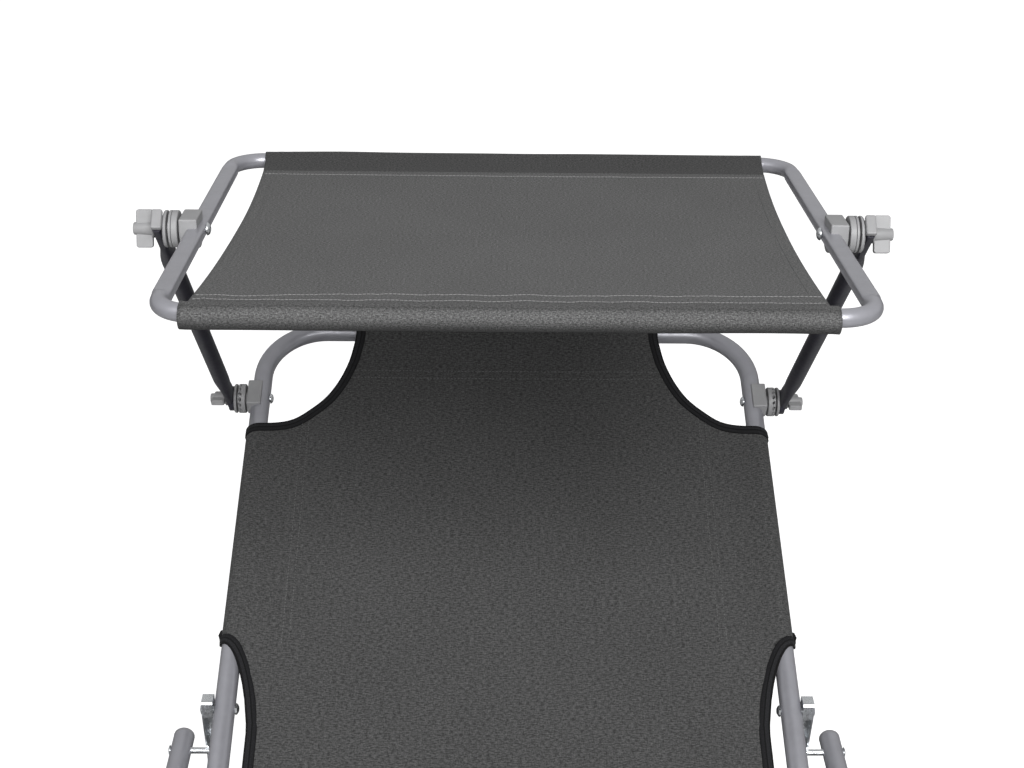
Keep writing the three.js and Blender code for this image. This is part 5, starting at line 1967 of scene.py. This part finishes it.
@dataclass
class Canopy:
    """The canopy's thin tube frame and its sleeved cloth."""

    radius: float = 0.0065
    half: float = 0.241
    bend: float = 0.027
    front: float = 0.1885
    rear: float = 0.204
    pressed: float = 0.0088
    press_run: float = 0.010
    press_power: float = 0.6
    side_half: float = 0.0067
    groove: float = 0.0014
    groove_band: Pair = (-0.05, 0.25)
    sleeve_r: float = 0.0089
    drop: float = 0.0014
    cloth: float = 0.0010
    thread_up: float = 0.8
    seam_front: float = 0.0255
    seam_rear: float = 0.037
    cloth_front: float = 0.2178
    cloth_middle: float = 0.2105
    cloth_rear: float = 0.2165
    hem_in: float = 0.009
    sewn_on: float = 0.15
    shift_front: float = -0.0052
    shift_rear: float = 0.0020
    sag: float = 0.0045

    def frame_path(self) -> list[Vector]:
        """The centreline of the rounded rectangle, from its rear left corner round the front."""
        path: list[Vector] = []
        for sign, y, start in (
            (-1, self.rear, 90),
            (-1, -self.front, 180),
            (1, -self.front, 270),
            (1, self.rear, 0),
        ):
            centre = (sign * (self.half - self.bend), y - math.copysign(self.bend, y))
            corner = arc(centre, self.bend, start, start + 90, 12)
            path.extend(Vector((px, py, 0)) for px, py in corner)
            if start == 90:
                path.extend(Vector((-self.half, y, 0)) for y in self.side_places())
            if start == 270:
                path.extend(Vector((self.half, y, 0)) for y in reversed(self.side_places()))
        return path

    def side_places(self) -> list[float]:
        """Places along a side from rear to front, close together where it is pressed."""
        top, bottom = self.rear - self.bend, self.bend - self.front
        shares = [i / 5 for i in range(1, 6)]
        high = [top - self.press_run * share for share in shares]
        return high + [bottom + self.press_run * share for share in reversed(shares)]

    def tube_section(self, point: Vector) -> list[Pair]:
        """The frame's cross-section: round at the bars and bends, pressed flatter along the sides.

        Args:
            point: A point of the centreline.

        Returns:
            Pairs of (across, up).
        """
        inside = min(self.rear - self.bend - point.y, point.y - self.bend + self.front)
        share = smooth(inside / self.press_run) if abs(point.x) > self.half - 1e-6 else 0.0
        power = 1 - self.press_power * share
        wide = lerp(self.radius, self.side_half, share)
        high = lerp(self.radius, self.pressed / 2, share)
        low, top = self.groove_band
        made = []
        for u, v in ellipse(1.0, 1.0, 36):
            across = wide * math.copysign(abs(u) ** power, u)
            if u < -0.8 and low < v < top:
                across += self.groove * share
            made.append((across, high * math.copysign(abs(v) ** power, v)))
        return made

    def make(self, maker: Maker, stitches: StitchTree) -> None:
        """Makes the frame, the cloth and its stitches.

        Args:
            maker: Makes the pieces.
            stitches: Lays the thread.
        """
        place, path = LAYOUT.canopy(), self.frame_path()
        shell = swept(path, UP, lambda i: self.tube_section(path[i]), closed=True)
        maker.piece("canopy_frame", shell, place, "frame_paint", "canopy", ["canopy_tube"])
        sheet = maker.cloth("canopy_sheet", self.sheet(), place, "canopy_cloth", self.cloth)
        sewn = []
        threads = maker.wardrobe.materials
        coarse = {"Pitch": 0.0030, "Stitch Length": 0.0029, "Thread Width": 0.0006}
        for name, lines, values in (
            ("canopy_stitches", self.seam_lines(), coarse | {"Thread": threads["canopy_thread"]}),
            ("canopy_hem_stitches", self.hem_lines(), {"Thread": threads["hem_thread"]}),
        ):
            placed = line_object(f"{name}_lines", [[place @ p for p in line] for line in lines])
            sewn.append(stitches.apply(placed, name, values))
        for obj in (sheet, *sewn):
            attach(obj, "canopy")
        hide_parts("canopy_cloth")

    def half_at(self, y: float) -> float:
        """Half the cloth's width at a place between the bars.

        Args:
            y: The place along the cloth.

        Returns:
            Half the width there.
        """
        t = (y + self.front) / (self.front + self.rear)
        middle = (self.cloth_front + self.cloth_rear) / 2
        return lerp(self.cloth_front, self.cloth_rear, t) - belly(t) * (middle - self.cloth_middle)

    def way(self) -> list[Pair]:
        """The cloth's way in (Y, Z) from the tucked end at the front to that at the rear."""
        low, high = -self.front + self.seam_front, self.rear - self.seam_rear
        rear = SleevePath(self.rear, high, self.sleeve_r, self.drop, hug=0.25)
        front = SleevePath(self.front, -low, self.sleeve_r, self.drop, hug=0.95, crease=0.0006)
        middle = [(y, 0.0) for y in steps(low, high, 0.006)[1:-1]]
        return [(-y, z) for y, z in reversed(front.points(0.001))] + middle + rear.points(0.002)

    def surface(self, across: float, y: float, z: float) -> Vector:
        """A point of the cloth, with its sag, ripples and hemmed side.

        Args:
            across: The place across, from -1 to 1.
            y: The place along.
            z: The height of the sleeve there, and 0 between the seams.

        Returns:
            The point in the canopy's frame.
        """
        open_run = self.front + self.rear - self.seam_front - self.seam_rear
        t = min(1.0, max(0.0, (y + self.front - self.seam_front) / open_run))
        x = across * self.half_at(y) + lerp(self.shift_front, self.shift_rear, t)
        sag = -self.sag * belly(t) * (1 - 0.55 * across**2)
        slow = noise.noise(Vector((x * 6.0, y * 8.0, 1.3))) * 0.0012 * belly(t)
        wave = 0.0
        if z != 0.0:
            end = smooth((abs(across) - 0.88) / 0.12)
            wave = noise.noise(Vector((x * 14.0, 4.2, z * 60.0))) * 0.0005
            wave += noise.noise(Vector((x * 120.0, y * 160.0, z * 90.0))) * 0.0007 * end
        return Vector((x, y, z + sag + slow + wave))

    def sheet(self) -> Shell:
        """Builds the cloth's mid surface."""
        grid = ClothGrid()
        way = self.way()
        across = [lerp(-1, 1, i / 96) for i in range(97)]
        measured = with_lengths(way, way[0], 0.0)
        flat_y, _, flat_walked = next(point for point in measured if point[1] == 0.0)
        rows = []
        for y, z, walked in measured:
            v = walked + flat_y - flat_walked
            rows.append([(self.surface(a, y, z), (a * self.half_at(y), v)) for a in across])
        grid.patch(rows)
        return grid.shell

    def stitch_line(self, y: float, wander: float, drift: float = 0.0) -> list[Vector]:
        """A line of stitches across the cloth, a little wavy.

        Args:
            y: The place along the cloth.
            wander: How far the line waves.
            drift: How far its left end is further to the front.

        Returns:
            The line's points.
        """
        up = Vector((0, 0, self.cloth * self.thread_up))
        line = []
        for a in steps(-0.985, 0.985, 0.012):
            way = noise.noise(Vector((a * 9.0, 0.0, 0.0)))
            way += 0.5 * noise.noise(Vector((a * 40.0, y * 70.0, 3.0)))
            at = y + wander * way - drift * smooth((-a - 0.45) / 0.45)
            line.append(self.surface(a, at, 0.0) + up)
        return line

    def seam_lines(self) -> list[list[Vector]]:
        """The light lines: two at the front sleeve and one at the rear sleeve."""
        front, rear = -self.front + self.seam_front, self.rear - self.seam_rear
        near = self.stitch_line(front + 0.0013, 0.0028, 0.0005)
        far = self.stitch_line(front + 0.0155, 0.0028, 0.0060)
        return [near, far, self.stitch_line(rear - 0.009, 0.0008)]

    def hem_lines(self) -> list[list[Vector]]:
        """The dark lines: the rear sleeve's seam and the line along each hem."""
        up = Vector((0, 0, self.cloth * self.thread_up))
        front, rear = -self.front + self.seam_front, self.rear - self.seam_rear
        lines = [self.stitch_line(rear, 0.0004)]
        for side in (-1, 1):
            line = []
            for y in steps(front, rear, 0.008):
                across = side * (1 - self.hem_in / self.half_at(y))
                line.append(self.surface(across, y, 0.0) + up)
            lines.append(line)
        return lines


@dataclass
class Leg:
    """A U-shaped leg on its pins, with two plastic foot sleeves."""

    name: str
    half: float
    parent: Matrix
    y: float
    lean: float
    sleeve_r: float = 0.0115
    sleeve_length: float = 0.040
    from_bend: float = 0.008
    bevel: float = 0.0012

    def make(self, maker: Maker) -> None:
        """Makes the tube and its feet.

        Args:
            maker: Makes the pieces.
        """
        matrix = LAYOUT.leg(self.parent, self.y, math.radians(self.lean - 90))
        drop = LAYOUT.rail_z - LAYOUT.leg_pin_drop - LAYOUT.bar_z
        length = drop / math.cos(math.radians(self.lean))
        body, name = f"{self.name}_leg", f"{self.name}_leg_frame"
        tube = BentTube(self.half, length).shell()
        maker.piece(name, tube, matrix, "frame_paint", body, [f"{self.name}_leg_tube"])
        at = self.half - LAYOUT.tube_bend - self.sleeve_length / 2 - self.from_bend
        bar = matrix @ Vector((0, length, 0))
        place = Matrix.Translation((0, bar.y, bar.z))
        for side in Side:
            middle = side.value * at
            reach = self.sleeve_length / 2
            foot = prism(self.outline(), middle - reach, middle + reach)
            name, node = f"{self.name}_foot_{side.word}", f"{self.name}_leg_foot_{side.word}"
            maker.piece(name, foot, place, "cap_plastic", body, [node], bevel=self.bevel)

    def outline(self) -> list[Pair]:
        """The foot sleeve's outline in (Y, Z), flat where it stands."""
        made = []
        for y, z in ellipse(self.sleeve_r, self.sleeve_r, 48):
            share = min(1.0, -LAYOUT.bar_z / z) if z < 0 else 1.0
            made.append((y * share, z * share))
        return made


@dataclass
class FoldingSection:
    """The tube of the backrest or the foot section."""

    name: str
    length: float
    body: str
    matrix: Matrix

    def make(self, maker: Maker) -> None:
        """Makes the U-shaped tube.

        Args:
            maker: Makes the pieces.
        """
        tube = BentTube(LAYOUT.back_x, self.length).shell()
        name, node = f"{self.name}_frame", f"{self.body}_tube"
        maker.piece(name, tube, self.matrix, "frame_paint", self.body, [node])


@dataclass
class Carried:
    """The CAD nodes whose own shape stays, and the finish that each one gets."""

    finishes: dict[str, str] = field(
        default_factory=lambda: {
            "support_strut": "zinc",
            "strut_rivet": "zinc",
            "rear_leg_bracket": "frame_paint",
            "front_leg_bracket": "frame_paint",
            "foot_leg_bracket": "frame_paint",
        }
    )

    def dress(self, wardrobe: Wardrobe, nodes: dict[str, bpy.types.Object]) -> None:
        """Gives each carried node its finish.

        Args:
            wardrobe: Has the finishes.
            nodes: The frame's nodes by name.
        """
        for stem, key in self.finishes.items():
            for side in Side:
                wardrobe.dress(nodes[f"{stem}_{side.word}"], key)


@dataclass(frozen=True)
class Lamp:
    """A soft square lamp that faces the backrest."""

    name: str
    place: Triple
    size: float
    power: float
    aim: Triple = (0, 0.6, 0.4)

    def make(self) -> None:
        """Adds the lamp to the scene."""
        data = bpy.data.lights.new(self.name, "AREA")
        data.size = self.size
        data.energy = self.power
        obj = bpy.data.objects.new(self.name, data)
        obj.location = self.place
        way = Vector(self.aim) - Vector(self.place)
        obj.rotation_euler = way.to_track_quat("-Z", "Y").to_euler()
        bpy.context.scene.collection.objects.link(obj)


@dataclass
class Studio:
    """A pale floor, soft lamps and the camera of the photograph."""

    camera_place: Triple = (
        -0.02113,
        LAYOUT.hinge_y - 0.9947,
        LAYOUT.rail_z + 0.9926,
    )
    yaw: float = 1.022
    pitch: float = 29.587
    roll: float = 0.891
    focal_pixels: float = 1684.5
    image_width: int = 1024
    sensor: float = 36.0
    sky: float = 0.15
    sky_glossy: float = 0.50
    floor_reach: float = 14.0
    floor_tone: float = 0.52
    floor_glow: float = 0.92
    lamps: tuple[Lamp, ...] = (
        Lamp("key", (0.35, -1.85, 2.55), 1.9, 122.0),
        Lamp("fill", (-1.5, -0.4, 2.2), 1.4, 7.0),
        Lamp("rim", (0.2, 2.4, 2.2), 2.6, 2.0),
    )

    def make(self) -> None:
        """Sets up the floor, the light and the camera."""
        self.floor()
        self.world()
        for lamp in self.lamps:
            lamp.make()
        self.camera()
        bpy.context.scene.view_settings.view_transform = "Standard"

    def floor(self) -> None:
        """A plain pale floor that shows white to the camera and keeps the shadow."""
        mesh = bpy.data.meshes.new("floor")
        corners = ((-1, -1), (1, -1), (1, 1), (-1, 1))
        points = [(self.floor_reach * x, self.floor_reach * y, 0) for x, y in corners]
        mesh.from_pydata(points, [], [(0, 1, 2, 3)])
        floor = bpy.data.objects.new("floor", mesh)
        bpy.context.scene.collection.objects.link(floor)
        graph = ShaderGraph("pale_floor")
        graph.set(Base_Color=grey(self.floor_tone), Roughness=0.9, Specular_IOR_Level=0.1)
        mesh.materials.append(graph.material)
        glow = graph.node("ShaderNodeEmission", {"Color": grey(1), "Strength": self.floor_glow})
        plain = graph.shader.outputs["BSDF"]
        both = graph.node("ShaderNodeAddShader", {0: plain, 1: glow.outputs["Emission"]})
        seen = graph.node("ShaderNodeLightPath").outputs["Is Camera Ray"]
        pick = graph.node("ShaderNodeMixShader", {"Fac": seen, 1: plain, 2: both.outputs["Shader"]})
        graph.link(pick.outputs["Shader"], graph.output.inputs["Surface"])

    def world(self) -> None:
        """A plain world that lights softly and shows white to the camera."""
        world = bpy.data.worlds.new("studio")
        bpy.context.scene.world = world
        world.use_nodes = True
        graph = NodeGraph(world.node_tree)
        rays = graph.node("ShaderNodeLightPath").outputs
        strength: Socket | float = self.sky
        for ray, seen in (("Is Glossy Ray", self.sky_glossy), ("Is Camera Ray", 1.0)):
            fills = {0: rays[ray], 1: seen - self.sky, 2: strength}
            strength = graph.node("ShaderNodeMath", fills, operation="MULTIPLY_ADD").outputs[0]
        sky = graph.node("ShaderNodeBackground", {"Color": grey(1), "Strength": strength})
        graph.node("ShaderNodeOutputWorld", {"Surface": sky.outputs["Background"]})

    def camera(self) -> None:
        """The photograph's camera."""
        data = bpy.data.cameras.new("camera")
        data.sensor_width = self.sensor
        data.lens = self.focal_pixels / self.image_width * data.sensor_width
        data.clip_start = 0.01
        data.clip_end = 100.0
        obj = bpy.data.objects.new("camera", data)
        yaw = Matrix.Rotation(-math.radians(self.yaw), 4, "Z")
        pitch = Matrix.Rotation(math.radians(90 - self.pitch), 4, "X")
        roll = Matrix.Rotation(math.radians(self.roll), 4, "Z")
        obj.matrix_world = Matrix.Translation(self.camera_place) @ yaw @ pitch @ roll
        bpy.context.scene.collection.objects.link(obj)
        bpy.context.scene.camera = obj


# How far the wings of each knob are turned, in degrees.
KNOB_ANGLES = {
    ("lower", Side.LEFT): 38.0,
    ("lower", Side.RIGHT): 44.0,
    ("upper", Side.LEFT): 118.0,
    ("upper", Side.RIGHT): 112.0,
}


def build_joints(maker: Maker, canopy: Canopy, tree: ToothTree) -> None:
    """Builds the ratchet joints and their wing knobs.

    Args:
        maker: Makes the pieces.
        canopy: The canopy, whose tube the upper joints hold.
        tree: Sets the teeth.
    """
    arms = LAYOUT.arms()
    upper_arms = arms @ Matrix.Translation((0, LAYOUT.arm_length, 0))
    lower_back = LAYOUT.back() @ Matrix.Translation((0, LAYOUT.ratchet_s, 0))
    lower = RatchetJoint(LAYOUT.back_x, LAYOUT.tube_r, "backrest", "lower")
    lower.make(maker, lower_back, arms, tree)
    upper = RatchetJoint(canopy.half, canopy.radius, "canopy", "upper", dots=False)
    upper.make(maker, LAYOUT.canopy(), upper_arms, tree)
    for (where, side), angle in KNOB_ANGLES.items():
        place = upper_arms if where == "upper" else arms
        WingKnob().make(maker, place, where, side, angle)


def build_legs(maker: Maker) -> None:
    """Builds the three legs.

    Args:
        maker: Makes the pieces.
    """
    Leg("rear", LAYOUT.rail_x, LAYOUT.seat(), LAYOUT.rear_leg_y, 25).make(maker)
    Leg("front", LAYOUT.rail_x, LAYOUT.seat(), LAYOUT.front_leg_y, -20).make(maker)
    Leg("foot", LAYOUT.back_x, LAYOUT.foot(), LAYOUT.foot_leg_s, 4).make(maker)


def main() -> None:
    """Builds the lounger's looks on its frame."""
    logging.basicConfig(level=logging.INFO, format="%(message)s")
    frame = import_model()
    Studio().make()
    wardrobe = Wardrobe()
    maker = Maker(wardrobe)
    stitches, teeth = StitchTree(), ToothTree()
    Carried().dress(wardrobe, frame["nodes"])
    SeatFrame().make(maker)
    back, foot = LAYOUT.back(), LAYOUT.foot()
    FoldingSection("backrest", LAYOUT.back_length, "backrest", back).make(maker)
    FoldingSection("foot", LAYOUT.foot_length, "foot_section", foot).make(maker)
    canopy = Canopy()
    build_joints(maker, canopy, teeth)
    CanopyArms().make(maker)
    canopy.make(maker, stitches)
    build_legs(maker)
    nodes = ("backrest_cloth", "seat_cloth")
    head = Sling("head_sling", LAYOUT.back_length, back, LAYOUT.seat(), "backrest", nodes)
    head.make(maker, stitches, "backrest_frame")
    nodes = ("foot_cloth",)
    end = Sling("foot_sling", LAYOUT.foot_length, foot, foot, "foot_section", nodes)
    end.make(maker, stitches, "foot_frame")


if __name__ == "__main__":
    main()
